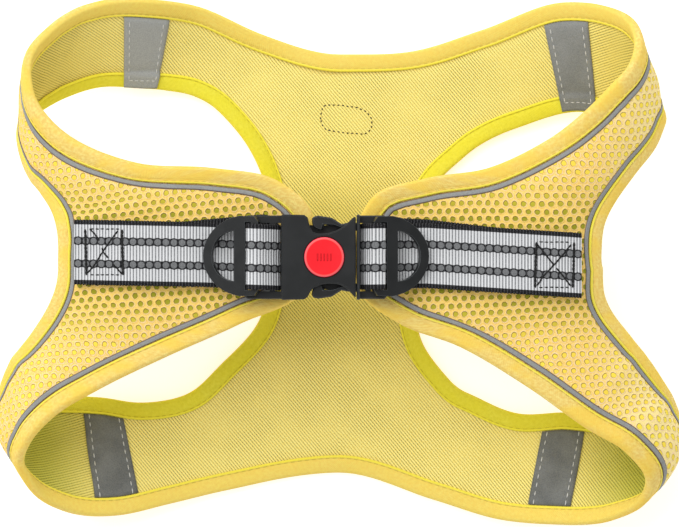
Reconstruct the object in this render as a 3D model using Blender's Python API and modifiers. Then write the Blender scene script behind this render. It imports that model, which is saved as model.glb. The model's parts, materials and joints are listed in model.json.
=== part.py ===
"""A step-in harness vest for a medium dog, in padded air mesh, closed with its buckle and laid on its chest.

The chest panel lies on the ground with its lining up. Four bands leave its corners, curl up and over, and
become the two wings, which the webbing and the buckle hold together above the back. The neck opening faces
+Y, the rear opening -Y, and a leg hole opens on each side. The origin is on the ground under the middle.
"""
import math
from collections import namedtuple

import bmesh
import bpy
import numpy as np
from mathutils import Vector
from mathutils.bvhtree import BVHTree

COLLECTION = "dog_vest_harness"
CUTTERS = "cutters"

MM = 0.001
GAP = 0.3  # between pieces that lie on each other, mm
FOLD_GAP = 0.4  # between a binding and the cloth inside it, mm

# The cloth, in mm. Heights are measured from the face where the mesh wall and the lining meet.
MESH_WALL = 1.8
LINING_WALL = 0.8
TAPE_WALL = 0.7
TAPE_WIDTH = 7.0  # of the binding, from its fold to its inner edge
RAW_EDGE = 1.0  # from the fold of the binding to the raw edge of the cloth inside it
TAPE_IN = TAPE_WIDTH - RAW_EDGE
PIPING_WIDTH = 2.0
PIPING_WALL = 0.5
MARGIN = 10.0  # from a raw edge to the first ring of points, past the binding and the piping
PATCH_WIDTH = 17.0
PATCH_WALL = 0.5
PATCH_END = -0.9  # of a front patch, from the raw edge of the leg hole, where it covers the binding's fold

MESH_IN, MESH_OUT = GAP / 2, GAP / 2 + MESH_WALL
LINING_OUT, LINING_IN = -GAP / 2, -GAP / 2 - LINING_WALL
FLOOR_LIFT = MESH_OUT - 0.05  # the chest lies on its outer face, pressed flat
TAPE_LIFT = MESH_OUT + GAP + TAPE_WALL + 0.4  # and rises at its edges, by the binding under them

RINGS = 8  # points across a section: at each edge, its binding's inner edge and its margin, and two between
ROLL = 1.5  # how much nearer to the leg hole a wide section rolls over
NARROW, ROLL_RANGE = 35, 60  # a section this narrow doesn't, and one wider than both together does so in full

Section = namedtuple("Section", "place edge_x edge_y edge_z hole_x hole_y hole_z crown")

# The sections of each side in turn: from the middle of the neck edge out along the front band, up round its
# curl, along the wing to its tip under the buckle, back out, down round the rear curl and in to the middle of
# the rear edge. Each runs from the folded outer edge to the folded leg hole edge, and its crown is how far it
# stands out between them. Sizes in mm.
LEFT = [
    Section("neck middle", 0, 83.5, 3.3, -46, 58.5, 4.5, 3),
    Section("front", -31, 91.5, 5, -57.5, 66.5, 4.6, 1),
    Section("front", -55.5, 101.5, 13.5, -68.5, 69, 5, 0.5),
    Section("front seam", -76, 103.5, 26, -78.5, 70, 6, 0),
    Section("front curl", -94, 101.5, 35, -96, 70.5, 8, 0),
    Section("front curl", -110.5, 92.5, 42, -113.5, 64, 12, 0),
    Section("front curl", -120, 80, 46, -123, 57, 16, 0.3),
    Section("front curl", -119.5, 68.5, 49.5, -125.5, 51, 20, 0.5),
    Section("front curl", -113, 56.5, 52.5, -122.5, 38, 28, 2),
    Section("wing", -99.5, 46, 54.3, -116, 28, 36.5, 3),
    Section("wing", -76.5, 38.5, 54.5, -111.5, 20.5, 42, 5),
    Section("wing", -47.5, 37, 54.8, -109, 13, 45.5, 6),
    Section("wing", -24.5, 32.5, 55.4, -108.5, 7, 46, 6.5),
    Section("tip", -11.5, 21.5, 56, -108.5, 3, 46, 8),
    Section("tip", -8, 6, 56, -108.5, 0, 46, 8.5),
    Section("tip", -14, -11, 56, -108.5, -3, 46, 8),
    Section("wing", -38, -23.5, 55.4, -109.5, -9, 45.5, 6.5),
    Section("wing", -66.5, -36, 54.8, -113.5, -18, 42, 5.5),
    Section("wing", -92, -48, 54.5, -120, -28, 36.5, 4),
    Section("rear curl", -110.5, -59, 53, -127.5, -38, 29.5, 3),
    Section("rear curl", -120.5, -70, 49.5, -132, -47.5, 22, 2.5),
    Section("rear curl", -123, -77.5, 44.5, -133.5, -54, 16, 3),
    Section("rear curl", -119, -88, 36, -129, -54.5, 12.5, 2.5),
    Section("rear", -107.5, -97, 26, -115, -53, 8.5, 1),
    Section("rear seam", -87.5, -99.5, 16.5, -95, -53.5, 5.5, 0),
    Section("rear", -67.5, -95.5, 9.5, -79.5, -55.5, 5, 0.5),
    Section("rear", -45.5, -90.5, 6, -64.5, -53.5, 4.6, 1),
    Section("rear middle", 0, -83.5, 3.3, -47.5, -40.5, 4.5, 3),
    Section("chest", 0, -54, 2, -32.5, -23.5, 4.5, 3),
    Section("chest", 0, -15, 2, -27.5, 0.5, 4.5, 3),
    Section("chest", 0, 25, 2, -30, 32.5, 4.5, 3),
    Section("chest", 0, 61, 2, -38, 49, 4.5, 3),
]
RIGHT = [
    Section("neck middle", 0, 83.5, 3.3, 48, 41, 4.5, 3),
    Section("front", 30.5, 85, 4.5, 59, 49, 4.6, 1),
    Section("front", 56, 92.5, 10, 72, 54.5, 5, 0.5),
    Section("front seam", 88.5, 103, 18, 96, 60.5, 7, 0),
    Section("front curl", 103.5, 101, 25.5, 107.5, 58.5, 9.5, 0.5),
    Section("front curl", 113.5, 95, 34, 118, 57.5, 13, 1),
    Section("front curl", 115.5, 86.5, 42, 124.5, 58.5, 18, 1.5),
    Section("front curl", 112.5, 77, 48, 127, 56, 24, 2),
    Section("front curl", 105, 69, 51.5, 123, 46, 32, 2.5),
    Section("wing", 94, 58, 53.5, 114.5, 35, 38, 3),
    Section("wing", 80, 47.5, 54.5, 106.5, 24, 43, 5),
    Section("wing", 57.5, 37, 54.8, 102, 14.5, 46, 6),
    Section("wing", 33, 33, 55.4, 101, 5, 46.5, 6.5),
    Section("tip", 13.5, 26.5, 56, 101, 0.5, 46.5, 8),
    Section("tip", 5, 6, 56, 101.5, -2.5, 46.5, 8.5),
    Section("tip", 8, -11.5, 56, 101.5, -5.5, 46.5, 8),
    Section("wing", 23, -23.5, 55.4, 102, -11, 46, 6.5),
    Section("wing", 45.5, -32, 54.8, 105, -18, 44, 5.5),
    Section("wing", 71.5, -47, 54.5, 113, -28.5, 40, 4.5),
    Section("rear curl", 94.5, -63, 53, 123, -41.5, 33.5, 4),
    Section("rear curl", 111.5, -73.5, 51, 130, -53.5, 26.5, 4.5),
    Section("rear curl", 119.5, -84.5, 45, 133, -62.5, 19.5, 5.5),
    Section("rear curl", 117.5, -92.5, 37, 130, -65, 14, 4.5),
    Section("rear", 106, -100.5, 27, 115.5, -63, 9, 2.5),
    Section("rear seam", 82, -103, 16, 90.5, -59.5, 5.5, 0),
    Section("rear", 62.5, -101.5, 9.5, 72, -60, 5, 0.5),
    Section("rear", 37, -94, 6, 55, -53.5, 4.6, 1),
    Section("rear middle", 0, -83.5, 3.3, 43, -45.5, 4.5, 3),
    Section("chest", 0, -54, 2, 33.5, -32.5, 4.5, 3),
    Section("chest", 0, -15, 2, 29.5, -10.5, 4.5, 3),
    Section("chest", 0, 25, 2, 32, 19.5, 4.5, 3),
    Section("chest", 0, 61, 2, 40, 33.5, 4.5, 3),
]

# Sections worked out between those of the tables, in each stretch.
FRONT_STEPS = 4
WING_STEPS = 34
REAR_STEPS = 4
CHEST_STEPS = 6
CHEST_SPARE = 0.14  # share of the chest's stretch at each end that has no section

# The webbing, in mm.
WEB_WIDTH = 25.0
WEB_WALL = 1.4
WEB_MARGIN = 1.5  # of cloth beside the webbing that it clears too
WEB_STEPS = 22, 20  # places along the layer on top and the one underneath

Strap = namedtuple("Strap", "end apex fold end_y apex_y fold_y turn turned_from")
# How far each strap's sewn end, the round of its D ring and its turn at the buckle lie from the middle, and
# where its centre line is there. The layer underneath is turned towards the neck by some degrees, from a
# distance from the middle inwards.
LEFT_STRAP = Strap(101.5, 51.3, 23.4, 4.4, 3.4, 2.2, 7.3, 60)
RIGHT_STRAP = Strap(92.5, 33.4, 8.8, -0.8, 3.0, 2.6, 3.2, 61)

# The hardware, in mm.
BUCKLE_Y = 2.4
BUCKLE_WIDTH = 32.4
BUCKLE_LOW, BUCKLE_HIGH = 62.4, 72.0  # it lies over the bindings of the wing tips
SOCKET_END, SOCKET_MOUTH = -22.2, 6.2
SHOULDER = 1.3
PRONG_LOW, PRONG_HIGH = 64.6, 69.4
PRONG_INSIDE = 10.0  # from the buckle's middle line, where a prong runs through the socket
LEDGE_END, LEDGE_HALF = 3.0, 12.2  # of the socket's bottom plate under the prongs
# The socket's sides beside its mouth, and a prong, as (along, off the buckle's middle line).
NOTCH_ABOVE = [
    (-13.3, 16.0), (-12.1, 15.1), (-11.3, 11.7), (-10.2, 9.7), (-8.3, 8.9),
    (-4.4, 9.1), (-1.3, 10.1), (1.0, 11.3), (3.3, 13.2), (5.0, 14.9),
]
NOTCH_BELOW = [
    (-13.3, -16.0), (-12.1, -15.1), (-11.0, -13.0), (-9.5, -11.4), (-7.0, -10.4),
    (-4.4, -10.0), (-1.0, -10.1), (1.2, -10.9), (3.3, -12.4), (5.0, -14.2),
]
PRONG = [
    (3.3, 13.1), (0.8, 12.6), (-3.0, 15.0), (-8.2, 15.8), (-10.3, 15.2), (-10.5, 13.5), (-10.1, 11.9),
    (-9.0, 10.8), (-7.2, 10.2), (-6.4, 10.7), (-6.2, 12.3), (-2.5, 12.1), (0.5, 11.0), (3.3, 10.2),
]
CHANNEL_END = -10.9
FRAME_LOW, FRAME_WALL = 62.7, 2.4
FRAME_INSET = 0.3  # of the frame's sides from the buckle's
FRAME_RAIL = 2.9
FRAME_CORNER = 2.0
FRAME_EASE = 0.4
FRAME_REACH = 14.3  # from the round of a D ring back to the end bar of the frame under it
BAR = 2.1
BUTTON_X, BUTTON_RADIUS = -5.8, 7.6
BUTTON_RISE, BUTTON_SUNK = 1.2, 1.8  # above and below the socket's top
BUTTON_EASE = 0.8
RING_WIDTH = 31.0
RING_WALL = 2.5
RING_BAND = 3.4
RING_EYE, RING_EYE_HALF = 12.6, 9.6  # from the round of a D ring to its middle bar, and half the eye's width
RING_SLOT = 17.0  # to the slot that the webbing comes up through
RING_BACK = 19.4  # to its back bar
RING_LENGTH = 22.2
RING_CORNER = 2.5
RING_EASE = 0.5
SLOT_SPARE = 0.4  # on each side of the webbing
WINDOW_START = 1.2  # from the inner end of a frame to its first window

COLOURS = {
    "mesh": (0.95, 0.62, 0.16),
    "lining": (0.80, 0.62, 0.20),
    "tape": (0.93, 0.72, 0.10),
    "piping": (0.33, 0.34, 0.35),
    "patch": (0.16, 0.17, 0.17),
    "webbing": (0.70, 0.70, 0.70),
    "plastic": (0.03, 0.03, 0.035),
    "red": (0.90, 0.03, 0.03),
}


def clear_scene():
    for old in list(bpy.data.objects):
        bpy.data.objects.remove(old)


def material(name):
    found = bpy.data.materials.get(name)
    if found:
        return found
    made = bpy.data.materials.new(name)
    made.use_nodes = True
    shader = made.node_tree.nodes["Principled BSDF"]
    shader.inputs["Base Color"].default_value = (*COLOURS[name], 1)
    shader.inputs["Roughness"].default_value = 0.35 if name in ("plastic", "red") else 0.85
    return made


def unit(v):
    return v / np.linalg.norm(v, axis=-1, keepdims=True)


def add_object(name, points, faces, finish):
    """An object from points in mm and faces, in the harness's collection."""
    mesh = bpy.data.meshes.new(name)
    mesh.from_pydata([tuple(p * MM) for p in np.asarray(points, float)], [], faces)
    mesh.validate()
    mesh.materials.append(material(finish))
    mesh.shade_smooth()
    mesh.set_sharp_from_angle(angle=math.radians(40))
    made = bpy.data.objects.new(name, mesh)
    bpy.data.collections[COLLECTION].objects.link(made)
    return made


# ---------------------------------------------------------------- the curves through the sections


def curve(knots, values, at, before, after):
    """Values at the given places of a smooth curve through the rows, with a neighbour row past each end."""
    k = np.concatenate([[before[0]], knots, [after[0]]])
    v = np.vstack([before[1], values, after[1]])
    slope = np.diff(v, axis=0) / np.diff(k)[:, None]
    step = np.diff(k)
    tangent = (slope[:-1] * step[1:, None] + slope[1:] * step[:-1, None]) / (step[:-1] + step[1:])[:, None]
    i = np.clip(np.searchsorted(knots, at, side="right") - 1, 0, len(knots) - 2)
    h = (knots[i + 1] - knots[i])[:, None]
    t = ((at - knots[i])[:, None]) / h
    return (
        (2 * t**3 - 3 * t**2 + 1) * values[i]
        + (t**3 - 2 * t**2 + t) * h * tangent[i]
        + (-2 * t**3 + 3 * t**2) * values[i + 1]
        + (t**3 - t**2) * h * tangent[i + 1]
    )


def off_line(places, line):
    """How far each place is from a line through points."""
    start, step = line[:-1], np.diff(line, axis=0)
    along = ((places[:, None] - start) * step).sum(2) / (step**2).sum(1)
    nearest = start + step * np.clip(along, 0, 1)[..., None]
    return np.linalg.norm(places[:, None] - nearest, axis=2).min(1)


class Side:
    """One half of the cloth, as sections round its leg hole.

    points[station, ring] and normals[station, ring] are the face where mesh and lining meet.
    """

    def __init__(self, table):
        self.sign = 1 if table[1].edge_x > 0 else -1
        names = [row.place for row in table]
        self.rows = np.array([row[1:] for row in table], float)
        edge, hole, crown = self.rows[:, 0:3], self.rows[:, 3:6], self.rows[:, 6:7]
        rear = names.index("rear middle")
        seams = names.index("front seam"), names.index("rear seam")
        # The knots are the mean of the distances along the two edges.
        ahead = np.roll(self.rows, -1, axis=0)
        stretch = np.linalg.norm(ahead[:, 3:6] - hole, axis=1)
        stretch[:rear] = (stretch[:rear] + np.linalg.norm((ahead[:, 0:3] - edge)[:rear], axis=1)) / 2
        knots = np.concatenate([[0], np.cumsum(stretch)])
        self.length = knots[-1]
        at = self.stations(knots, seams, rear)
        hole_at = curve(
            knots,
            np.vstack([hole, hole[:1]]),
            at,
            (knots[-2] - self.length, hole[-1]),
            (self.length + knots[1], hole[1]),
        )
        crown_at = np.interp(at, knots, np.append(crown[:, 0], crown[0, 0]))
        mirror = np.array([-1, 1, 1])
        edge_at = curve(
            knots[: rear + 1],
            edge[: rear + 1],
            np.minimum(at, knots[rear]),
            (-knots[1], edge[1] * mirror),
            (2 * knots[rear] - knots[rear - 1], edge[rear - 1] * mirror),
        )
        chest = at > knots[rear]
        reach = RAW_EDGE + MARGIN
        low, high = edge[rear, 1] + reach, edge[0, 1] - reach
        share = np.linspace(0, 1, chest.sum())
        edge_at[chest] = np.column_stack([share * 0, low + (high - low) * share, share * 0 + FLOOR_LIFT])
        edge_at[np.flatnonzero(chest)[[0, -1]], 2] = TAPE_LIFT
        self.chest = chest
        self.points = self.across(edge_at, hole_at, crown_at)

    def stations(self, knots, seams, rear):
        """Where the sections are worked out. A patch's edges and the seam under it are among them."""
        half = PATCH_WIDTH / 2
        front, back = knots[seams[0]], knots[seams[1]]
        spare = CHEST_SPARE * (self.length - knots[rear])
        parts = [
            np.linspace(0, front - half, FRONT_STEPS)[:-1],
            [front - half, front],
            np.linspace(front + half, back - half, WING_STEPS),
            [back],
            np.linspace(back + half, knots[rear], REAR_STEPS),
            np.linspace(knots[rear] + spare, self.length - spare, CHEST_STEPS),
        ]
        self.front_seam = FRONT_STEPS
        self.rear_seam = FRONT_STEPS + WING_STEPS + 1
        return np.concatenate(parts)

    def across(self, edge, hole, crown):
        """The points of each section, from the raw outer edge to the raw leg hole edge."""
        n = len(edge)
        along_edge, along_hole = (
            unit(np.roll(line, -1, axis=0) - np.roll(line, 1, axis=0)) for line in (edge, hole)
        )
        # At the middle of the body the outer edge runs straight across.
        edge_end = int(np.flatnonzero(self.chest)[0]) - 1
        along_edge[0], along_edge[edge_end] = (self.sign, 0, 0), (-self.sign, 0, 0)
        spoke = unit(hole - edge)
        lean_edge = np.linalg.norm(np.cross(along_edge, spoke), axis=1)
        lean_hole = np.linalg.norm(np.cross(along_hole, spoke), axis=1)
        lean_edge[self.chest] = 1
        inset = np.where(self.chest, 0, RAW_EDGE / lean_edge)
        start = edge + spoke * inset[:, None]
        start[0] = edge[0] - (0, RAW_EDGE, 0)
        start[edge_end] = edge[edge_end] + (0, RAW_EDGE, 0)
        stop = hole - spoke * (RAW_EDGE / lean_hole)[:, None]
        width = np.linalg.norm(stop - start, axis=1)
        first = MARGIN / lean_edge / width
        last = 1 - MARGIN / lean_hole / width
        out = np.cross(along_edge, spoke) * self.sign
        out[self.chest] = (0, 0, -1)
        out = unit(out)
        roll = 1 + ROLL * np.clip((width - NARROW) / ROLL_RANGE, 0, 1)

        def place(t):
            rise = crown * np.sin(math.pi * t**roll)
            return start + (stop - start) * t[:, None] + out * rise[:, None]

        for _ in range(8):  # the margins are measured over the roll of the cloth
            first *= MARGIN / lean_edge / np.linalg.norm(place(first) - start, axis=1)
            last = 1 - (1 - last) * MARGIN / lean_hole / np.linalg.norm(place(last) - stop, axis=1)
        taped_edge, taped_hole = first * TAPE_IN / MARGIN, 1 - (1 - last) * TAPE_IN / MARGIN
        between = np.arange(n)
        between = between[(between > 0) & (between < edge_end)]
        edge_line, hole_line = start[: edge_end + 1], np.vstack([stop, stop[:1]])
        for _ in range(8):  # and square to the raw edges
            first[between] *= MARGIN / off_line(place(first), edge_line)[between]
            taped_edge[between] *= TAPE_IN / off_line(place(taped_edge), edge_line)[between]
            last = 1 - (1 - last) * MARGIN / off_line(place(last), hole_line)
            taped_hole = 1 - (1 - taped_hole) * TAPE_IN / off_line(place(taped_hole), hole_line)
        points = np.zeros((n, RINGS, 3))
        points[:, 0], points[:, -1] = start, stop
        inner = RINGS - 5
        for ring in range(inner + 1):
            points[:, ring + 2] = place(first + (last - first) * ring / inner)
        # The chest lies on the ground, and the binding lifts its edges.
        taped = np.zeros((n, RINGS), bool)
        taped[:, -3:] = True
        taped[~self.chest, :3] = True
        taped[np.flatnonzero(self.chest)[[0, -1]]] = True
        points[..., 2] = np.maximum(points[..., 2], np.where(taped, TAPE_LIFT, FLOOR_LIFT))
        share = TAPE_IN / MARGIN
        points[:, 1] = points[:, 0] * (1 - share) + points[:, 2] * share
        points[between, 1] = place(taped_edge)[between]
        points[:, -2] = place(taped_hole)
        points[..., 2] = np.maximum(points[..., 2], np.where(taped, TAPE_LIFT, FLOOR_LIFT))
        return points


# ---------------------------------------------------------------- the whole sheet and its normals


def cells(side):
    """The triangles of one side's sheet as (station, ring) corners, facing outwards."""
    n = len(side.points)
    found = []
    first_chest = int(np.flatnonzero(side.chest)[0])
    for i in range(n):
        j = (i + 1) % n
        for ring in range(RINGS - 1):
            a, b, c, d = (i, ring), (j, ring), (j, ring + 1), (i, ring + 1)
            # The cells at the middle of the neck and rear edges fold along the ring under the binding.
            at_middle = ring == 0 and (j == 0 or i == first_chest - 1)
            pair = [(a, b, d), (b, c, d)] if at_middle else [(a, b, c), (a, c, d)]
            found += [(i, ring, tri[::-1] if side.sign < 0 else tri) for tri in pair]
    return found


def add_normals(sides):
    """Gives every side its outward normals, shared where the two halves meet on the middle line."""
    for side in sides:
        total = np.zeros_like(side.points)
        for _, _, tri in cells(side):
            a, b, c = (side.points[corner] for corner in tri)
            face = np.cross(b - a, c - a)
            for corner in tri:
                total[corner] += face
        side.normals = total
    for side in sides:
        middle = np.abs(side.points[..., 0]) < 1e-6
        side.normals[middle, 0] = 0
        side.normals = unit(side.normals)


def point_at(side, station, ring, height):
    return side.points[station, ring] + height * side.normals[station, ring]


def near_edge(side, station, inward, height, at_hole):
    """A point that lies inward of a raw edge, measured square to it, and off the sheet by a height."""
    a, b = ((station, RINGS - 1), (station, RINGS - 2)) if at_hole else ((station, 0), (station, 1))
    beyond = (station, RINGS - 3) if at_hole else (station, 2)
    share = inward / TAPE_IN
    if inward > TAPE_IN:
        a, b, share = b, beyond, (inward - TAPE_IN) / (MARGIN - TAPE_IN)
    place, normal = side.points, side.normals
    first_chest = int(np.flatnonzero(side.chest)[0])
    if not at_hole and station in (0, first_chest - 1):
        # At the middle of the body the tape runs square across, towards the first section of the chest.
        b = (len(place) - 1, 0) if station == 0 else (first_chest, 0)
        share = inward / MARGIN
    return (1 - share) * (place[a] + height * normal[a]) + share * (place[b] + height * normal[b])


# ---------------------------------------------------------------- solids from the sheet


def volume(points, faces):
    total = 0.0
    for face in faces:
        first = points[face[0]]
        for k in range(1, len(face) - 1):
            total += np.dot(first, np.cross(points[face[k]], points[face[k + 1]]))
    return total


def solid(name, points, faces, finish):
    """A closed piece, with its faces turned outwards."""
    points = np.asarray(points, float)
    if volume(points, faces) < 0:
        faces = [tuple(reversed(face)) for face in faces]
    return add_object(name, points, faces, finish)


def wall(name, parts, low, high, finish, pressed=False):
    """A wall of the sheet between two heights. Each part is a side and its stations in order."""
    base, normals, index, triangles = [], [], {}, []
    for side, stations in parts:
        n = len(side.points)
        ends = {stations[0]: stations[1], stations[-1]: stations[-2]}
        for station in stations:
            for ring in range(RINGS):
                place = side.points[station, ring]
                if station in ends:
                    place = place + unit(side.points[ends[station], ring] - place) * GAP / 2
                middle = abs(place[0]) < 1e-6
                key = ("middle", round(place[1], 3)) if middle else (side.sign, station, ring)
                if key not in index:
                    index[key] = len(base)
                    base.append(place)
                    normals.append(side.normals[station, ring])
                index[side.sign, station, ring] = index[key]
        wanted = {(a, (a + 1) % n) for a in stations[:-1]}
        for i, _, tri in cells(side):
            if (i, (i + 1) % n) in wanted:
                triangles.append(tuple(index[(side.sign, *corner)] for corner in tri))
    base, normals = np.array(base), np.array(normals)
    outer, inner = base + high * normals, base + low * normals
    if pressed:
        outer[:, 2] = np.maximum(outer[:, 2], 0)
    count = len(base)
    edges = {(t[k], t[k - 2]) for t in triangles for k in range(3)}
    faces = list(triangles)
    faces += [(a + count, c + count, b + count) for a, b, c in triangles]
    faces += [(b, a, a + count, b + count) for a, b in edges if (b, a) not in edges]
    return solid(name, np.vstack([outer, inner]), faces, finish)


def sweep(name, sections, depth, finish, closed, folds):
    """A strip lofted through its sections. depth is how far in each of a section's points lies.

    folds tells for each stretch which way its faces fold, as the cloth does that it lies on.
    """
    n, m = len(sections), len(sections[0])
    points = [p for section in sections for p in section]
    faces = []
    for i in range(n if closed else n - 1):
        j = (i + 1) % n
        for k in range(m):
            q = (k + 1) % m
            a, b, c, d = i * m + k, j * m + k, j * m + q, i * m + q
            if (depth[q] >= depth[k]) != folds[i]:
                faces += [(a, b, c), (a, c, d)]
            else:
                faces += [(a, b, d), (b, c, d)]
    if not closed:
        faces += [tuple(range(m)), tuple(range((n - 1) * m, n * m))[::-1]]
    return solid(name, points, faces, finish)


# The section of a binding: how far in from the raw edge, and how far off the sheet.
TAPE_OUT, TAPE_UNDER = MESH_OUT + FOLD_GAP, LINING_IN - FOLD_GAP
BINDING = [
    (TAPE_IN, TAPE_OUT + TAPE_WALL),
    (-RAW_EDGE / 2, TAPE_OUT + TAPE_WALL),
    (-RAW_EDGE, (MESH_OUT + LINING_IN) / 2),
    (-RAW_EDGE / 2, TAPE_UNDER - TAPE_WALL),
    (TAPE_IN, TAPE_UNDER - TAPE_WALL),
    (TAPE_IN, TAPE_UNDER),
    (-FOLD_GAP, TAPE_UNDER),
    (-FOLD_GAP, TAPE_OUT),
    (TAPE_IN, TAPE_OUT),
]
PIPING = [
    (TAPE_IN + GAP, MESH_OUT + GAP),
    (TAPE_IN + GAP, MESH_OUT + GAP + PIPING_WALL),
    (TAPE_IN + GAP + PIPING_WIDTH, MESH_OUT + GAP + PIPING_WALL),
    (TAPE_IN + GAP + PIPING_WIDTH, MESH_OUT + GAP),
]


def strip_along(name, route, section, finish, closed, at_hole, backwards=None):
    """A strip that follows an edge. route lists (side, station), and one side may be followed backwards."""
    sections = [[near_edge(side, i, inward, up, at_hole) for inward, up in section] for side, i in route]
    pairs = zip(route, route[1:] + route[:1])
    folds = [at_hole != (backwards is not None and backwards in (one[0], two[0])) for one, two in pairs]
    return sweep(name, sections, [inward for inward, _ in section], finish, closed, folds)


def patch(name, side, station, over_binding):
    """The tape over a seam, on the lining. Towards the neck it goes over the leg hole's binding."""
    on_lining, on_tape = LINING_IN - GAP, TAPE_UNDER - TAPE_WALL - GAP
    columns = []
    for i in (station - 1, station, station + 1):
        near = [(near_edge(side, i, TAPE_IN + GAP, on_lining + h, False)) for h in (0, -PATCH_WALL)]
        column = [near]
        for ring in range(2, RINGS - 2):
            column.append([point_at(side, i, ring, on_lining + h) for h in (0, -PATCH_WALL)])
        if over_binding:
            steps = (TAPE_IN + 1.3, on_lining), (TAPE_IN + 0.5, on_tape), (PATCH_END, on_tape)
        else:
            steps = ((TAPE_IN + GAP, on_lining),)
        for inward, up in steps:
            column.append([near_edge(side, i, inward, up + h, True) for h in (0, -PATCH_WALL)])
        columns.append(column)
    grid = np.array(columns)
    return slab(name, grid[:, :, 0], grid[:, :, 1], "patch")


def slab(name, one, two, finish):
    """A solid between two grids of points that face each other."""
    rows, across = one.shape[:2]
    count = rows * across
    at = np.arange(count).reshape(rows, across)
    faces = []
    for i in range(rows - 1):
        for k in range(across - 1):
            a, b, c, d = at[i, k], at[i + 1, k], at[i + 1, k + 1], at[i, k + 1]
            faces += [(a, b, c), (a, c, d)]
            faces += [(a + count, c + count, b + count), (a + count, d + count, c + count)]
    rim = [*at[0], *at[1:, -1], *at[-1, -2::-1], *at[-2:0:-1, 0]]
    for a, b in zip(rim, rim[1:] + rim[:1]):
        faces.append((a, b, b + count, a + count))
    faces = [tuple(int(v) for v in face) for face in faces]
    return solid(name, np.concatenate([one.reshape(-1, 3), two.reshape(-1, 3)]), faces, finish)


# ---------------------------------------------------------------- the webbing


def tops(cloth, sign, strap):
    """How high the cloth stands under the webbing, as a function of the distance from the middle."""
    trees = []
    for mesh in (piece.data for piece in cloth):
        faces = [tuple(p.vertices) for p in mesh.polygons]
        trees.append(BVHTree.FromPolygons([v.co for v in mesh.vertices], faces))
    half = WEB_WIDTH / 2 + WEB_MARGIN

    def top(reach):
        best = 0.0
        for step in (-2, -1, 0, 1, 2):
            for across in np.linspace(-half, half, 9):
                start = Vector((sign * (reach + step), centre_y(strap, reach) + across, 200)) * MM
                hits = [tree.ray_cast(start, Vector((0, 0, -1)))[0] for tree in trees]
                best = max([best] + [hit.z / MM for hit in hits if hit is not None])
        return best

    return top


def centre_y(strap, reach):
    places, heights = (strap.fold, strap.apex, strap.end), (strap.fold_y, strap.apex_y, strap.end_y)
    return float(np.interp(reach, places, heights))


class Lean:
    """How a D ring lies: its round on the webbing, and its bars on the end of the buckle's frame."""

    def __init__(self, strap, top):
        self.apex = strap.apex
        self.toe = top(strap.apex - 1) + 2 * (GAP + WEB_WALL) + GAP
        self.angle = math.atan((FRAME_LOW + FRAME_WALL + GAP - self.toe) / FRAME_REACH)

    def place(self, along, up):
        """How far from the middle and how high a point of the ring is, from its place on the ring."""
        cos, sin = math.cos(self.angle), math.sin(self.angle)
        return self.apex - along * cos + up * sin, self.toe + along * sin + up * cos


def webbing(name, sign, strap, top, lean):
    """The webbing: sewn to the wing, up through the D ring, round the buckle's bar and back underneath."""
    half = WEB_WALL / 2
    lower = GAP + half
    upper = 2 * GAP + WEB_WALL + half
    bar_top = FRAME_LOW + FRAME_WALL + GAP + half
    slot = (RING_SLOT + RING_BACK) / 2
    rise = lean.place(slot, 0)[0]
    over = RING_WALL + GAP + half
    # On top of the wing, then up through the slot, over the back bar, down round the buckle's bar and back.
    path = [(reach, top(reach) + upper) for reach in np.linspace(strap.end, rise + 2.2, WEB_STEPS[0])]
    low = path[-1][1]
    path += [
        (rise + 0.9, low + 0.4),
        (rise - 0.2, low + 1.7),
        (rise - 0.3, FRAME_LOW + FRAME_WALL),
        lean.place(slot, 0),
        lean.place(slot - 0.1, over - 0.6),
        lean.place(slot + 0.3, over),
        lean.place(slot + 1.2, over + 0.3),
        lean.place(RING_LENGTH - 0.4, over + 0.3),
        lean.place(RING_LENGTH + 1.3, over - 0.4),
        (strap.fold + 1.4, bar_top + 0.3),
        (strap.fold + 0.2, bar_top - 0.5),
        (strap.fold, bar_top - 1.6),
        (strap.fold, bar_top - 3.6),
        (strap.fold + 0.7, bar_top - 5.0),
    ]
    turns = [0.0] * len(path)
    for reach in np.linspace(strap.fold + 3.0, strap.end - 3.0, WEB_STEPS[1]):
        path.append((reach, top(reach) + lower))
        turns.append(math.tan(math.radians(strap.turn)) * max(0.0, strap.turned_from - reach))
    line = np.array(path)
    ahead = np.vstack([line[1:], line[-1:]]) - np.vstack([line[:1], line[:-1]])
    across = unit(np.column_stack([-ahead[:, 1], ahead[:, 0]]))
    one, two = [], []
    for (reach, z), turn, (nr, nz) in zip(path, turns, across):
        y = centre_y(strap, reach) + turn
        for rows, offset in ((one, half), (two, -half)):
            edges = (-WEB_WIDTH / 2, WEB_WIDTH / 2)
            rows.append([(sign * (reach + nr * offset), y + w, z + nz * offset) for w in edges])
    return slab(name, np.array(one), np.array(two), "webbing")


# ---------------------------------------------------------------- the hardware


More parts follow.
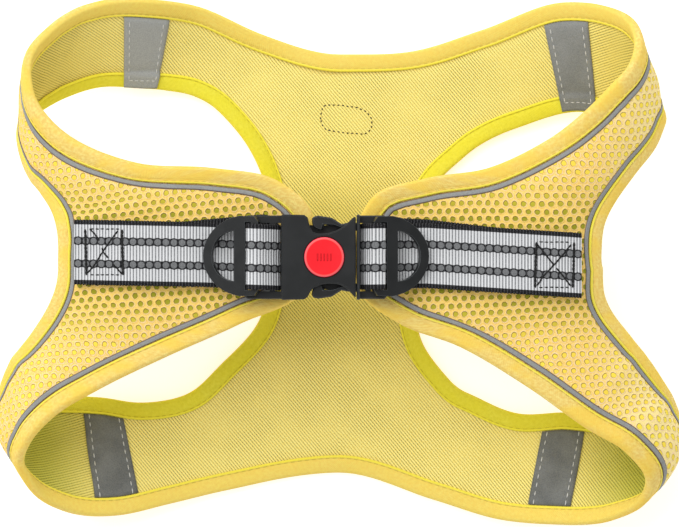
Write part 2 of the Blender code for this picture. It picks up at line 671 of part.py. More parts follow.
def flat_piece(name, outlines, low, high, finish, bevel=0.5):
    """A plate from outlines in mm, the first its edge and the others its holes, with eased edges."""
    data = bpy.data.curves.new(name, "CURVE")
    data.dimensions = "2D"
    data.fill_mode = "BOTH"
    data.extrude = (high - low) / 2 * MM
    for outline in outlines:
        spline = data.splines.new("POLY")
        spline.points.add(len(outline) - 1)
        for point, (x, y) in zip(spline.points, outline):
            point.co = (x * MM, y * MM, 0, 1)
        spline.use_cyclic_u = True
    drawn = bpy.data.objects.new(name + "_outline", data)
    bpy.context.scene.collection.objects.link(drawn)
    graph = bpy.context.evaluated_depsgraph_get()
    mesh = bpy.data.meshes.new_from_object(drawn.evaluated_get(graph))
    bpy.data.objects.remove(drawn)
    shape = bmesh.new()
    shape.from_mesh(mesh)
    bmesh.ops.remove_doubles(shape, verts=shape.verts, dist=1e-6)
    bmesh.ops.translate(shape, verts=shape.verts, vec=(0, 0, (high + low) / 2 * MM))
    bmesh.ops.dissolve_limit(shape, angle_limit=0.01, verts=shape.verts, edges=shape.edges)
    bmesh.ops.recalc_face_normals(shape, faces=shape.faces)
    shape.to_mesh(mesh)
    shape.free()
    mesh.materials.clear()
    mesh.materials.append(material(finish))
    mesh.name = name
    made = bpy.data.objects.new(name, mesh)
    bpy.data.collections[COLLECTION].objects.link(made)
    if bevel:
        eased = made.modifiers.new("eased edges", "BEVEL")
        eased.width = bevel * MM
        eased.segments = 1
        eased.limit_method = "ANGLE"
        eased.angle_limit = math.radians(50)
    mesh.shade_smooth()
    mesh.set_sharp_from_angle(angle=math.radians(35))
    return made


def arc(cx, cy, rx, ry, start, stop, steps):
    """Points round an ellipse, between two angles in degrees."""
    turns = np.radians(np.linspace(start, stop, steps))
    return [(cx + rx * math.cos(t), cy + ry * math.sin(t)) for t in turns]


def rectangle(x0, x1, y0, y1):
    return [(x0, y0), (x1, y0), (x1, y1), (x0, y1)]


def combine(target, other, operation):
    """Joins another piece to the target or cuts it away, and removes it."""
    step = target.modifiers.new("step", "BOOLEAN")
    step.operation = operation
    step.object = other
    graph = bpy.context.evaluated_depsgraph_get()
    mesh = bpy.data.meshes.new_from_object(target.evaluated_get(graph))
    mesh.name = target.name
    target.modifiers.clear()
    target.data = mesh
    bpy.data.objects.remove(other)


def on_axis(outline):
    """An outline drawn about the buckle's own middle line, in place."""
    return [(x, y + BUCKLE_Y) for x, y in outline]


def frame(name, sign, strap, inner_end):
    """The two rails and two bars beside a buckle half, which hold the webbing."""
    reach = strap.apex - FRAME_REACH
    half = BUCKLE_WIDTH / 2 - FRAME_INSET
    inside = half - FRAME_RAIL
    bar_in = strap.fold + WEB_WALL / 2 + GAP
    bar_out = bar_in + BAR
    top = FRAME_LOW + FRAME_WALL
    eased = reach - FRAME_CORNER
    outline = [(inner_end, -half), (eased, -half), (reach, -half + FRAME_CORNER)]
    outline += [(reach, half - FRAME_CORNER), (eased, half), (inner_end, half)]
    outline = on_axis((sign * x, y) for x, y in outline)
    plate = flat_piece(name, [outline], FRAME_LOW, top, "plastic", bevel=FRAME_EASE)
    for start, stop in ((inner_end + WINDOW_START, bar_in), (bar_out, reach - BAR)):
        window = on_axis((sign * x, y) for x, y in rectangle(start, stop, -inside, inside))
        cutter = flat_piece("window", [window], FRAME_LOW - 1, top + 1, "plastic", bevel=0)
        combine(plate, cutter, "DIFFERENCE")
    return plate


def disc(name, radius, low, high, collection):
    """A round piece about the button's axis."""
    shape = bmesh.new()
    bmesh.ops.create_cone(
        shape, cap_ends=True, segments=40, radius1=radius * MM, radius2=radius * MM, depth=(high - low) * MM
    )
    bmesh.ops.translate(shape, verts=shape.verts, vec=Vector((BUTTON_X, BUCKLE_Y, (low + high) / 2)) * MM)
    mesh = bpy.data.meshes.new(name)
    shape.to_mesh(mesh)
    shape.free()
    made = bpy.data.objects.new(name, mesh)
    bpy.data.collections[collection].objects.link(made)
    return made


def button():
    low, high = BUCKLE_HIGH - BUTTON_SUNK, BUCKLE_HIGH + BUTTON_RISE
    made = disc("lock_button", BUTTON_RADIUS, low, high, COLLECTION)
    made.data.materials.append(material("red"))
    rounded = made.modifiers.new("rounded rim", "BEVEL")
    rounded.width = BUTTON_EASE * MM
    rounded.segments = 2
    rounded.limit_method = "ANGLE"
    made.data.shade_smooth()
    made.data.set_sharp_from_angle(angle=math.radians(40))


def socket():
    """The half with the lock button. Its sides are cut in near the mouth, where the plug's prongs show."""
    half = BUCKLE_WIDTH / 2
    outline = [(SOCKET_END, half), (SOCKET_END, -half), *NOTCH_BELOW, (SOCKET_MOUTH, -half + 0.6)]
    outline += [(SOCKET_MOUTH, half - 0.6), *reversed(NOTCH_ABOVE)]
    made = flat_piece("buckle_socket", [on_axis(outline)], BUCKLE_LOW, BUCKLE_HIGH, "plastic", bevel=0.6)
    ledge = rectangle(NOTCH_ABOVE[0][0] - 2, LEDGE_END, -LEDGE_HALF, LEDGE_HALF)
    floor = flat_piece("ledge", [on_axis(ledge)], BUCKLE_LOW + 0.2, PRONG_LOW - GAP - 0.1, "plastic", bevel=0)
    combine(made, floor, "UNION")
    for sign in (-1, 1):
        slot = rectangle(CHANNEL_END, SOCKET_MOUTH + 1, PRONG_INSIDE - GAP, half + 2)
        slot = on_axis((x, sign * y) for x, y in slot)
        cutter = flat_piece("channel", [slot], PRONG_LOW - GAP, PRONG_HIGH + GAP, "plastic", bevel=0)
        combine(made, cutter, "DIFFERENCE")
    combine(made, frame("socket_frame", -1, LEFT_STRAP, -SOCKET_END - 2), "UNION")
    well = disc("button_well", BUTTON_RADIUS + GAP, BUCKLE_HIGH - BUTTON_SUNK - GAP, BUCKLE_HIGH + 5, CUTTERS)
    well.hide_render = True
    well.display_type = "WIRE"
    cut = made.modifiers.new("button well", "BOOLEAN")
    cut.operation = "DIFFERENCE"
    cut.object = well


def plug():
    """The half that is pushed in: a shoulder past the mouth, and two prongs that run back into the socket."""
    half = BUCKLE_WIDTH / 2
    mouth = SOCKET_MOUTH + GAP
    shoulder = rectangle(mouth, mouth + SHOULDER, -half, half)
    low, high = BUCKLE_LOW + 1, BUCKLE_HIGH - 1
    made = flat_piece("buckle_plug", [on_axis(shoulder)], low, high, "plastic", bevel=0.4)
    for sign in (-1, 1):
        prong = [(mouth + SHOULDER / 2, sign * PRONG_INSIDE), (mouth + SHOULDER / 2, sign * PRONG[0][1])]
        prong += [(x, sign * y) for x, y in PRONG]
        prong = flat_piece("prong", [on_axis(prong)], PRONG_LOW, PRONG_HIGH, "plastic", bevel=0.4)
        combine(made, prong, "UNION")
    combine(made, frame("plug_frame", 1, RIGHT_STRAP, mouth + 0.1), "UNION")


def d_ring(name, sign, strap, lean):
    """A plastic D ring: a round eye, a middle bar, a slot and a back bar."""
    half = RING_WIDTH / 2
    round_end = RING_BACK - 1.5
    outline = arc(round_end, 0, round_end, half, 100, 260, 21)
    outline += [(RING_LENGTH - 1.5, -half + 0.5), (RING_LENGTH, -half + RING_CORNER)]
    outline += [(RING_LENGTH, half - RING_CORNER), (RING_LENGTH - 1.5, half - 0.5)]
    eye = arc(RING_EYE, 0, RING_EYE - RING_BAND, RING_EYE_HALF, 90, 270, 15)
    slot_half = WEB_WIDTH / 2 + SLOT_SPARE
    slot = rectangle(RING_SLOT, RING_BACK, -slot_half, slot_half)
    made = flat_piece(name, [outline, eye, slot], 0, RING_WALL, "plastic", bevel=RING_EASE)
    middle = centre_y(strap, strap.apex - RING_EYE)
    turn = bmesh.new()
    turn.from_mesh(made.data)
    for vert in turn.verts:
        x, y, z = vert.co / MM
        reach, height = lean.place(x, z)
        vert.co = Vector((sign * reach, y + middle, height)) * MM
    if sign > 0:
        bmesh.ops.reverse_faces(turn, faces=turn.faces)
    turn.to_mesh(made.data)
    turn.free()
    return made


def main():
    clear_scene()
    for name in (COLLECTION, CUTTERS):
        bpy.data.collections.new(name)
        bpy.context.scene.collection.children.link(bpy.data.collections[name])
    left, right = sides = Side(LEFT), Side(RIGHT)
    add_normals(sides)
    wings = {}
    for side, label in ((left, "left"), (right, "right")):
        around = list(range(side.front_seam, side.rear_seam + 1))
        wings[label] = wall(f"wing_{label}", [(side, around)], MESH_IN, MESH_OUT, "mesh")
        wall(f"lining_{label}", [(side, around)], LINING_IN, LINING_OUT, "lining")
        route = [(side, i) for i in range(len(side.points))]
        strip_along(f"binding_leg_{label}", route, BINDING, "tape", True, True)
        wing_route = [(side, i) for i in around]
        strip_along(f"piping_edge_{label}", wing_route, PIPING, "piping", False, False)
        strip_along(f"piping_leg_{label}", wing_route, PIPING, "piping", False, True)
        patch(f"patch_front_{label}", side, side.front_seam, True)
        patch(f"patch_rear_{label}", side, side.rear_seam, False)
    body = []
    for side in sides:
        n = len(side.points)
        body.append((side, list(range(side.rear_seam, n)) + list(range(side.front_seam + 1))))
    wall("chest_panel", body, MESH_IN, MESH_OUT, "mesh", pressed=True)
    wall("lining_chest", body, LINING_IN, LINING_OUT, "lining")
    first_chest = int(np.flatnonzero(left.chest)[0])
    route = [(left, i) for i in range(first_chest)]
    route += [(right, i) for i in range(int(np.flatnonzero(right.chest)[0]) - 2, 0, -1)]
    edge = strip_along("binding_outer", route, BINDING, "tape", True, False, backwards=right)
    socket()
    button()
    plug()
    for label, sign, strap in (("left", -1, LEFT_STRAP), ("right", 1, RIGHT_STRAP)):
        top = tops((wings[label], edge), sign, strap)
        lean = Lean(strap, top)
        d_ring(f"d_ring_{label}", sign, strap, lean)
        webbing(f"strap_{label}", sign, strap, top, lean)


main()
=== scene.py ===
import json
import math
from collections import namedtuple

import bmesh
import bpy
import numpy as np
from mathutils import Matrix, Vector
from mathutils.bvhtree import BVHTree
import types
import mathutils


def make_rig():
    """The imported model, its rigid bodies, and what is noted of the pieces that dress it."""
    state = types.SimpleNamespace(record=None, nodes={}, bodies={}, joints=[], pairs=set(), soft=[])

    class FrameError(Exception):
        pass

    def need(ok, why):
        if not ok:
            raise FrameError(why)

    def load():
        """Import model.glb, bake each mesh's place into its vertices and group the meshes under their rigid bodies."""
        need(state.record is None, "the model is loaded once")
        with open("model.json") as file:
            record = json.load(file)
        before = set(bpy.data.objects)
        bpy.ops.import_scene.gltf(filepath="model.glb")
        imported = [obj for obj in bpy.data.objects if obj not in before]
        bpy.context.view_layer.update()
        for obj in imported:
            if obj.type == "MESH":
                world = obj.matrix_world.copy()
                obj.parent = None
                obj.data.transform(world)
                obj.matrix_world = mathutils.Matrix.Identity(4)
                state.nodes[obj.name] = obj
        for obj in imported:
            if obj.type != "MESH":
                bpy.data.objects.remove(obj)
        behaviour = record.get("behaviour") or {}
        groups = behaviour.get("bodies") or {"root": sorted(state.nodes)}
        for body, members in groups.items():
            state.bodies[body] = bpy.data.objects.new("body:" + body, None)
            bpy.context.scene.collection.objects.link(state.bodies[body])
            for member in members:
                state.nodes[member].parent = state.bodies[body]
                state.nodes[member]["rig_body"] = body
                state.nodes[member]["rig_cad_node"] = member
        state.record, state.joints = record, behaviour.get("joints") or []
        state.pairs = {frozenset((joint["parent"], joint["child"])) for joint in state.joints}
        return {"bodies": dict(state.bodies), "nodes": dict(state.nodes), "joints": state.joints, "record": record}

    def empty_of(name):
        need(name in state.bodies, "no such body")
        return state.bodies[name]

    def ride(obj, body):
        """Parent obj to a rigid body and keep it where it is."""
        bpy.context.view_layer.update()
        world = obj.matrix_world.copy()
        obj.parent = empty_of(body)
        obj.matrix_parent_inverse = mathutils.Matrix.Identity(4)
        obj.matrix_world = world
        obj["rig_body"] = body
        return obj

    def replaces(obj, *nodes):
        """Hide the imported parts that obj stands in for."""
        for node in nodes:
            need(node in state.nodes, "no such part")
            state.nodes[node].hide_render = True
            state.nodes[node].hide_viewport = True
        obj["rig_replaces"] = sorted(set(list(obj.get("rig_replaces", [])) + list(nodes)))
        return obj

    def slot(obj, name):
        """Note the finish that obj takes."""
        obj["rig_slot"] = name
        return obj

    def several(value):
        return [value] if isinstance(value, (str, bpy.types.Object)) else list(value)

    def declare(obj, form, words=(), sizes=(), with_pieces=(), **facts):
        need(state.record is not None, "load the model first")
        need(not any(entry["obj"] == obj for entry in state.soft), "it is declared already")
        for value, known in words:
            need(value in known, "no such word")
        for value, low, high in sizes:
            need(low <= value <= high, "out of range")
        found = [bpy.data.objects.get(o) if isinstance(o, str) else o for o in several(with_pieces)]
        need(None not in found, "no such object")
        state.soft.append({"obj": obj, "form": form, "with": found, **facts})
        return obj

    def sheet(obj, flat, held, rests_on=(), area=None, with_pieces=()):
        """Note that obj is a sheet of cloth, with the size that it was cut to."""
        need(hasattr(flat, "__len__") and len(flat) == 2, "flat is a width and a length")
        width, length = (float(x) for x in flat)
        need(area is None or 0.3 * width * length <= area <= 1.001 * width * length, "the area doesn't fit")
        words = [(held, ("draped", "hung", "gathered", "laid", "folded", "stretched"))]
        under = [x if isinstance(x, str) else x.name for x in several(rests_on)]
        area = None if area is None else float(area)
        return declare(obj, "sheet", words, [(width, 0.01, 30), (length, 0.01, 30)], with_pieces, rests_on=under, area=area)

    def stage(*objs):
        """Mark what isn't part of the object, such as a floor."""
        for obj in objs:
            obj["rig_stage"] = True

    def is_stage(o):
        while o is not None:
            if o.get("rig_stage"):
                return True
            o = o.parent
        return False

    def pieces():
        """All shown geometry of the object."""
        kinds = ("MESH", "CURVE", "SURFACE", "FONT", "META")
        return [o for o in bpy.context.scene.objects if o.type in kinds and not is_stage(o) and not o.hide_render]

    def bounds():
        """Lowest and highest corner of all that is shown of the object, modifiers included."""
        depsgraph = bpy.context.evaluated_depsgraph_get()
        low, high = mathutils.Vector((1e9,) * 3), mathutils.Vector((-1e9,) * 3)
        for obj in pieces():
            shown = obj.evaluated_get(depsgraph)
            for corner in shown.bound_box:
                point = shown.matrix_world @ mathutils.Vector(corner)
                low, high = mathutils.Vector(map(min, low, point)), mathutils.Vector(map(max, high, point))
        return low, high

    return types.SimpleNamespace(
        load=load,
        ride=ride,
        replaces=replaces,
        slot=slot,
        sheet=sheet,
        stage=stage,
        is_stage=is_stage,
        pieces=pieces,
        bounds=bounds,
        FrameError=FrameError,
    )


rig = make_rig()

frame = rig.load()
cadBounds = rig.bounds()
rng = np.random.default_rng(11)
mm = 0.001

cloth = {
    "meshTop": 1.95, "liningLow": 0.95, "meeting": 0.15,  # mm off the face between mesh and lining
    "pressedTop": 1.0, "pressedLow": 0.5, "pressedFrom": 5.8, "pressedTo": 9.5,  # inside a binding
    "rawEdge": 1.0, "floor": 2.0, "roll": 1.5, "rollWidth": 35, "chestMargin": 10.0, "spare": 0.14,
    "seamGap": 0.15, "edgeRings": (0, 2.5, 5, 6.5, 8, 10), "innerRings": 15, "step": 1.7,
}
tape = {
    "width": 7.0, "wall": 0.6, "gap": 0.25, "stitch": 1.35, "bead": 0.22, "groove": 0.18, "puff": 0.35,
    "turnedIn": 0.35, "step": 2.2, "squareRun": 22,
}
piping = {"start": 6.35, "width": 2.1, "wall": 0.5, "lift": 0.35, "rise": 0.55}
patchTape = {
    "width": 17.0, "wall": 0.4, "gap": 0.25, "columns": 13, "clear": 8.2, "besideTape": 0.25, "proud": 0.45,
    "overTape": (8.2, 7.2, 6.5, 5.6, 4.5, 3.4, 2.2, 1.0, 0.0), "stitchInset": 2.1,
}

sections = {"left": {  # as sewn: x, y, z of the outer edge, then of the leg hole, and the crown, mm
    "neck middle": [(0, 83.5, 3.3, -46, 58.5, 4.5, 3)],
    "front band": [(-31, 91.5, 5, -57.5, 66.5, 4.6, 1), (-55.5, 101.5, 13.5, -68.5, 69, 5, 0.5)],
    "front seam": [(-76, 103.5, 26, -78.5, 70, 6, 0)],
    "front curl": [
        (-94, 101.5, 35, -96, 70.5, 8, 0), (-110.5, 92.5, 42, -113.5, 64, 12, 0),
        (-120, 80, 46, -123, 57, 16, 0.3), (-119.5, 68.5, 49.5, -125.5, 51, 20, 0.5),
        (-113, 56.5, 52.5, -122.5, 38, 28, 2)],
    "front of wing": [
        (-99.5, 46, 54.3, -116, 28, 36.5, 3), (-76.5, 38.5, 54.5, -111.5, 20.5, 42, 5),
        (-47.5, 37, 54.8, -109, 13, 45.5, 6), (-24.5, 32.5, 55.4, -108.5, 7, 46, 6.5)],
    "tip": [
        (-11.5, 21.5, 56, -108.5, 3, 46, 8), (-8, 6, 56, -108.5, 0, 46, 8.5),
        (-14, -11, 56, -108.5, -3, 46, 8)],
    "rear of wing": [
        (-38, -23.5, 55.4, -109.5, -9, 45.5, 6.5), (-66.5, -36, 54.8, -113.5, -18, 42, 5.5),
        (-92, -48, 54.5, -120, -28, 36.5, 4)],
    "rear curl": [
        (-110.5, -59, 53, -127.5, -38, 29.5, 3), (-120.5, -70, 49.5, -132, -47.5, 22, 2.5),
        (-123, -77.5, 44.5, -133.5, -54, 16, 3), (-119, -88, 36, -129, -54.5, 12.5, 2.5)],
    "rear side": [(-107.5, -97, 26, -115, -53, 8.5, 1)],
    "rear seam": [(-87.5, -99.5, 16.5, -95, -53.5, 5.5, 0)],
    "rear band": [(-67.5, -95.5, 9.5, -79.5, -55.5, 5, 0.5), (-45.5, -90.5, 6, -64.5, -53.5, 4.6, 1)],
    "rear middle": [(0, -83.5, 3.3, -47.5, -40.5, 4.5, 3)],
    "chest": [
        (0, -54, 2, -32.5, -23.5, 4.5, 3), (0, -15, 2, -27.5, 0.5, 4.5, 3),
        (0, 25, 2, -30, 32.5, 4.5, 3), (0, 61, 2, -38, 49, 4.5, 3)],
}, "right": {
    "neck middle": [(0, 83.5, 3.3, 48, 41, 4.5, 3)],
    "front band": [(30.5, 85, 4.5, 59, 49, 4.6, 1), (56, 92.5, 10, 72, 54.5, 5, 0.5)],
    "front seam": [(88.5, 103, 18, 96, 60.5, 7, 0)],
    "front curl": [
        (103.5, 101, 25.5, 107.5, 58.5, 9.5, 0.5), (113.5, 95, 34, 118, 57.5, 13, 1),
        (115.5, 86.5, 42, 124.5, 58.5, 18, 1.5), (112.5, 77, 48, 127, 56, 24, 2),
        (105, 69, 51.5, 123, 46, 32, 2.5)],
    "front of wing": [
        (94, 58, 53.5, 114.5, 35, 38, 3), (80, 47.5, 54.5, 106.5, 24, 43, 5),
        (57.5, 37, 54.8, 102, 14.5, 46, 6), (33, 33, 55.4, 101, 5, 46.5, 6.5)],
    "tip": [
        (13.5, 26.5, 56, 101, 0.5, 46.5, 8), (5, 6, 56, 101.5, -2.5, 46.5, 8.5),
        (8, -11.5, 56, 101.5, -5.5, 46.5, 8)],
    "rear of wing": [
        (23, -23.5, 55.4, 102, -11, 46, 6.5), (45.5, -32, 54.8, 105, -18, 44, 5.5),
        (71.5, -47, 54.5, 113, -28.5, 40, 4.5)],
    "rear curl": [
        (94.5, -63, 53, 123, -41.5, 33.5, 4), (111.5, -73.5, 51, 130, -53.5, 26.5, 4.5),
        (119.5, -84.5, 45, 133, -62.5, 19.5, 5.5), (117.5, -92.5, 37, 130, -65, 14, 4.5)],
    "rear side": [(106, -100.5, 27, 115.5, -63, 9, 2.5)],
    "rear seam": [(82, -103, 16, 90.5, -59.5, 5.5, 0)],
    "rear band": [(62.5, -101.5, 9.5, 72, -60, 5, 0.5), (37, -94, 6, 55, -53.5, 4.6, 1)],
    "rear middle": [(0, -83.5, 3.3, 43, -45.5, 4.5, 3)],
    "chest": [
        (0, -54, 2, 33.5, -32.5, 4.5, 3), (0, -15, 2, 29.5, -10.5, 4.5, 3),
        (0, 25, 2, 32, 19.5, 4.5, 3), (0, 61, 2, 40, 33.5, 4.5, 3)],
}}


def unit(v):
    return v / np.maximum(np.linalg.norm(v, axis=-1, keepdims=True), 1e-12)


def size(v):
    return np.linalg.norm(v, axis=-1)


def smoothstep(x, low, high):
    s = np.clip((np.asarray(x, float) - low) / (high - low), 0, 1)
    return s * s * (3 - 2 * s)


def smoothCurve(knots, values, at, before, after):
    k = np.concatenate([[before[0]], knots, [after[0]]])
    v = np.vstack([before[1], values, after[1]])
    step = np.diff(k)
    slope = np.diff(v, axis=0) / step[:, None]
    lean = (slope[:-1] * step[1:, None] + slope[1:] * step[:-1, None]) / (step[:-1] + step[1:])[:, None]
    i = np.clip(np.searchsorted(knots, at, side="right") - 1, 0, len(knots) - 2)
    h = (knots[i + 1] - knots[i])[:, None]
    s = (at - knots[i])[:, None] / h
    one = (2 * s**3 - 3 * s**2 + 1) * values[i] + (s**3 - 2 * s**2 + s) * h * lean[i]
    return one + (-2 * s**3 + 3 * s**2) * values[i + 1] + (s**3 - s**2) * h * lean[i + 1]


def nearest(places, find):  # find takes 2000 places at a time
    flat = places.reshape(-1, 3)
    best = [find(flat[i : i + 2000, None]) for i in range(0, len(flat), 2000)]
    return np.concatenate(best).reshape(places.shape[:-1])


def offLine(places, line):  # how far each place is from a line through points
    start, step = line[:-1], np.diff(line, axis=0)

    def find(some):
        away = some - start
        along = np.clip((away * step).sum(2) / (step**2).sum(1), 0, 1)
        return np.sqrt(((away - step * along[..., None]) ** 2).sum(2).min(1))

    return nearest(places, find)


class Half:  # one side of the cloth, as a face that runs round its leg hole
    def __init__(self, table, creases):
        rows = np.array([row for group in table.values() for row in group], float)
        self.sign = 1 if rows[1, 0] > 0 else -1
        self.creases = creases
        self.edgeRows, self.holeRows, self.crownRows = rows[:, 0:3], rows[:, 3:6], rows[:, 6]
        places = [place for place, group in table.items() for _ in group]
        self.rearRow = places.index("rear middle")
        stretch = size(np.roll(self.holeRows, -1, axis=0) - self.holeRows)
        outer = size(np.diff(self.edgeRows[: self.rearRow + 1], axis=0))
        stretch[: self.rearRow] = (stretch[: self.rearRow] + outer) / 2
        self.knots = np.concatenate([[0], np.cumsum(stretch)])
        self.length = self.knots[-1]
        self.rear = self.knots[self.rearRow]  # the outer edge ends here, and the chest's middle line starts
        self.frontSeam = self.knots[places.index("front seam")]
        self.rearSeam = self.knots[places.index("rear seam")]
        self.spare = cloth["spare"] * (self.length - self.rear)
        self.rawEdge = self.rims(np.linspace(0, self.rear, 260))[0]
        self.rawHole = self.rims(np.linspace(0, self.length, 320))[1]

    def lines(self, p):
        p = np.mod(np.asarray(p, float), self.length)
        hole = smoothCurve(
            self.knots, np.vstack([self.holeRows, self.holeRows[:1]]), p,
            (self.knots[-2] - self.length, self.holeRows[-1]),
            (self.length + self.knots[1], self.holeRows[1]))
        flip = np.array([-1, 1, 1])
        r = self.rearRow
        edge = smoothCurve(
            self.knots[: r + 1], self.edgeRows[: r + 1], np.minimum(p, self.rear),
            (-self.knots[1], self.edgeRows[1] * flip),
            (2 * self.rear - self.knots[r - 1], self.edgeRows[r - 1] * flip))
        crown = np.interp(p, self.knots, np.append(self.crownRows, self.crownRows[0]))
        chest = p > self.rear
        raw, floor = cloth["rawEdge"], cloth["floor"]
        reach = raw + cloth["chestMargin"]
        (low, lowZ), (high, highZ) = self.edgeRows[r, 1:], self.edgeRows[0, 1:]
        stops = [self.rear, self.rear + self.spare, self.length - self.spare, self.length]
        middleY = np.interp(p, stops, [low + raw, low + reach, high - reach, high - raw])
        lift = np.interp(p, stops, [lowZ, floor, floor, highZ])
        edge[chest] = np.column_stack([middleY * 0, middleY, lift])[chest]
        return edge, hole, crown, chest

    def rims(self, p):  # the raw edges, and how the sections lie between them
        p = np.asarray(p, float)
        edge, hole, crown, chest = self.lines(p)
        d = 0.4
        alongEdge, alongHole = (unit(a - b) for a, b in zip(self.lines(p + d)[:2], self.lines(p - d)[:2]))
        inPlace = np.mod(p, self.length)
        atRear = np.abs(inPlace - self.rear) < 2 * d
        atMiddle = atRear | (np.minimum(inPlace, self.length - inPlace) < 2 * d)
        turn = np.where(atRear, -self.sign, self.sign)
        alongEdge[atMiddle] = np.column_stack([turn, turn * 0, turn * 0])[atMiddle]
        spoke = unit(hole - edge)
        leanEdge, leanHole = size(np.cross(alongEdge, spoke)), size(np.cross(alongHole, spoke))
        inner = np.cross(np.cross(alongEdge, spoke), alongEdge)  # in the face, square to the edge
        start = edge + unit(inner) * cloth["rawEdge"]
        start[chest] = edge[chest]
        stop = hole - spoke * (cloth["rawEdge"] / leanHole)[:, None]
        out, down = unit(np.cross(alongEdge, spoke)) * self.sign, np.array([0, 0, -1.0])
        fade = smoothstep(inPlace, self.rear, self.rear + self.spare)
        fade = fade * (1 - smoothstep(inPlace, self.length - self.spare, self.length))
        out[chest] = down
        out = unit(out * (1 - fade[:, None]) + down * fade[:, None])
        share = (inPlace - self.rear) / (self.length - self.rear)
        mixed = np.where(share < 0.5, self.leanAt(self.rearRow), self.leanAt(0)) * (1 - fade) + fade
        leanEdge = np.where(chest, mixed, leanEdge)
        return start, stop, out, crown, leanEdge, leanHole

    def leanAt(self, row):
        spoke = unit(self.holeRows[row] - self.edgeRows[row])
        return float(size(np.cross([1, 0, 0], spoke)))

    def face(self, rim, p, t):  # p and rim by station, t[station, ring]
        start, stop, out, crown, _, _ = rim
        width = size(stop - start)
        roll = 1 + cloth["roll"] * np.clip((width - cloth["rollWidth"]) / 60, 0, 1)
        rise = crown[:, None] * np.sin(math.pi * np.clip(t, 0, 1) ** roll[:, None])
        for crease in self.creases:
            a = p[:, None] - np.interp(crease.row, range(len(self.knots)), self.knots)
            b = (t - crease.across) * width[:, None]
            c, s = math.cos(math.radians(crease.turn)), math.sin(math.radians(crease.turn))
            u, v = a * c + b * s, b * c - a * s
            rise = rise + crease.height * np.exp(-((u / crease.length) ** 2) - (v / crease.width) ** 2)
        points = start[:, None] + (stop - start)[:, None] * t[..., None] + out[:, None] * rise[..., None]
        over = (points[..., 2] - cloth["floor"]) * 3
        points[..., 2] = cloth["floor"] + np.logaddexp(0, over) / 3 - 0.02
        return points

    def across(self, rim, p, inward, fromHole):  # where along the section a depth from a raw edge is reached
        start, stop, _, _, leanEdge, leanHole = rim
        width = size(stop - start)
        lean, end = (leanHole, stop) if fromHole else (leanEdge, start)
        inward = np.broadcast_to(inward, (len(p), np.shape(inward)[-1]))
        want = inward / lean[:, None]
        t = want / width[:, None]
        for _ in range(6):
            at = self.face(rim, p, 1 - t if fromHole else t)
            t = np.where(want > 0.05, t * want / np.maximum(size(at - end[:, None]), 1e-6), t)
        inPlace = np.mod(p, self.length)
        free = np.full(len(p), True) if fromHole else (inPlace > 1) & (inPlace < self.rear - 1)
        square = free[:, None] & (inward > 0.05)
        line = self.rawHole if fromHole else self.rawEdge
        for _ in range(6):  # then square to the raw edge
            at = self.face(rim, p, 1 - t if fromHole else t)
            t = np.where(square, t * inward / np.maximum(offLine(at, line), 1e-6), t)
        return 1 - t if fromHole else t

    def normals(self, rim, p, t):
        d, dt = 0.3, 0.004
        alongP = self.face(self.rims(p + d), p + d, t) - self.face(self.rims(p - d), p - d, t)
        alongT = self.face(rim, p, t + dt) - self.face(rim, p, t - dt)
        return unit(np.cross(alongP, alongT)) * self.sign


Crease = namedtuple("Crease", "row across length width height turn")  # row, share, mm, mm, mm, degrees
creases = {"left": [
    (4.6, 0.45, 15, 3.2, 0.9, 74), (5.5, 0.6, 11, 2.6, -0.7, 82), (6.3, 0.5, 14, 3.0, 0.8, 96),
    (7.2, 0.55, 9, 2.4, -0.5, 104), (8.4, 0.72, 12, 3.6, 0.7, 66), (9.8, 0.2, 20, 4.0, -0.6, 8),
    (17.2, 0.25, 24, 4.5, -0.7, -6), (18.8, 0.6, 15, 3.4, 0.8, 78), (19.9, 0.5, 12, 3.0, -0.7, 97),
    (21.2, 0.5, 16, 3.3, 0.9, 86), (22.4, 0.4, 10, 2.6, -0.6, 70), (23.5, 0.55, 13, 3.4, 0.6, 105),
    (2.2, 0.5, 14, 4.2, 0.5, 80), (25.5, 0.5, 15, 4.6, 0.6, 98), (26.6, 0.6, 18, 5.0, -0.4, 70),
], "right": [
    (4.3, 0.55, 16, 3.4, 0.8, 92), (5.3, 0.45, 11, 2.8, -0.6, 78), (6.2, 0.5, 13, 2.8, 0.8, 100),
    (7.4, 0.6, 15, 3.6, -0.7, 84), (8.3, 0.35, 10, 2.6, 0.6, 70), (9.4, 0.2, 22, 4.2, -0.5, -7),
    (17.6, 0.28, 22, 4.6, -0.7, 9), (18.6, 0.65, 12, 3.0, 0.7, 101), (19.8, 0.5, 16, 3.6, 0.9, 82),
    (20.9, 0.45, 11, 2.7, -0.7, 95), (22.1, 0.55, 14, 3.2, 0.8, 76), (23.2, 0.4, 12, 3.0, -0.5, 108),
    (1.8, 0.5, 16, 4.4, 0.5, 96), (25.3, 0.5, 14, 4.4, 0.6, 84), (26.5, 0.4, 17, 5.2, -0.4, 104),
]}
halves = {label: Half(sections[label], [Crease(*row) for row in rows]) for label, rows in creases.items()}


def pressed(depth, full, low):  # the cloth thins under its binding
    return low + (full - low) * smoothstep(depth, cloth["pressedFrom"], cloth["pressedTo"])


def sheetGrid(half, p):
    rim = half.rims(p)
    nearEdge, nearHole = (half.across(rim, p, cloth["edgeRings"], fromHole) for fromHole in (False, True))
    share = np.linspace(0, 1, cloth["innerRings"] + 2)[1:-1]
    middle = nearEdge[:, -1:] + (nearHole[:, -1:] - nearEdge[:, -1:]) * share
    t = np.hstack([nearEdge, middle, nearHole[:, ::-1]])
    points = half.face(rim, p, t)
    normals = half.normals(rim, p, t)
    onMiddle = np.abs(points[..., 0]) < 1e-4
    normals[onMiddle, 0] = 0
    points[onMiddle, 0] = 0
    return points, unit(normals), t, rim


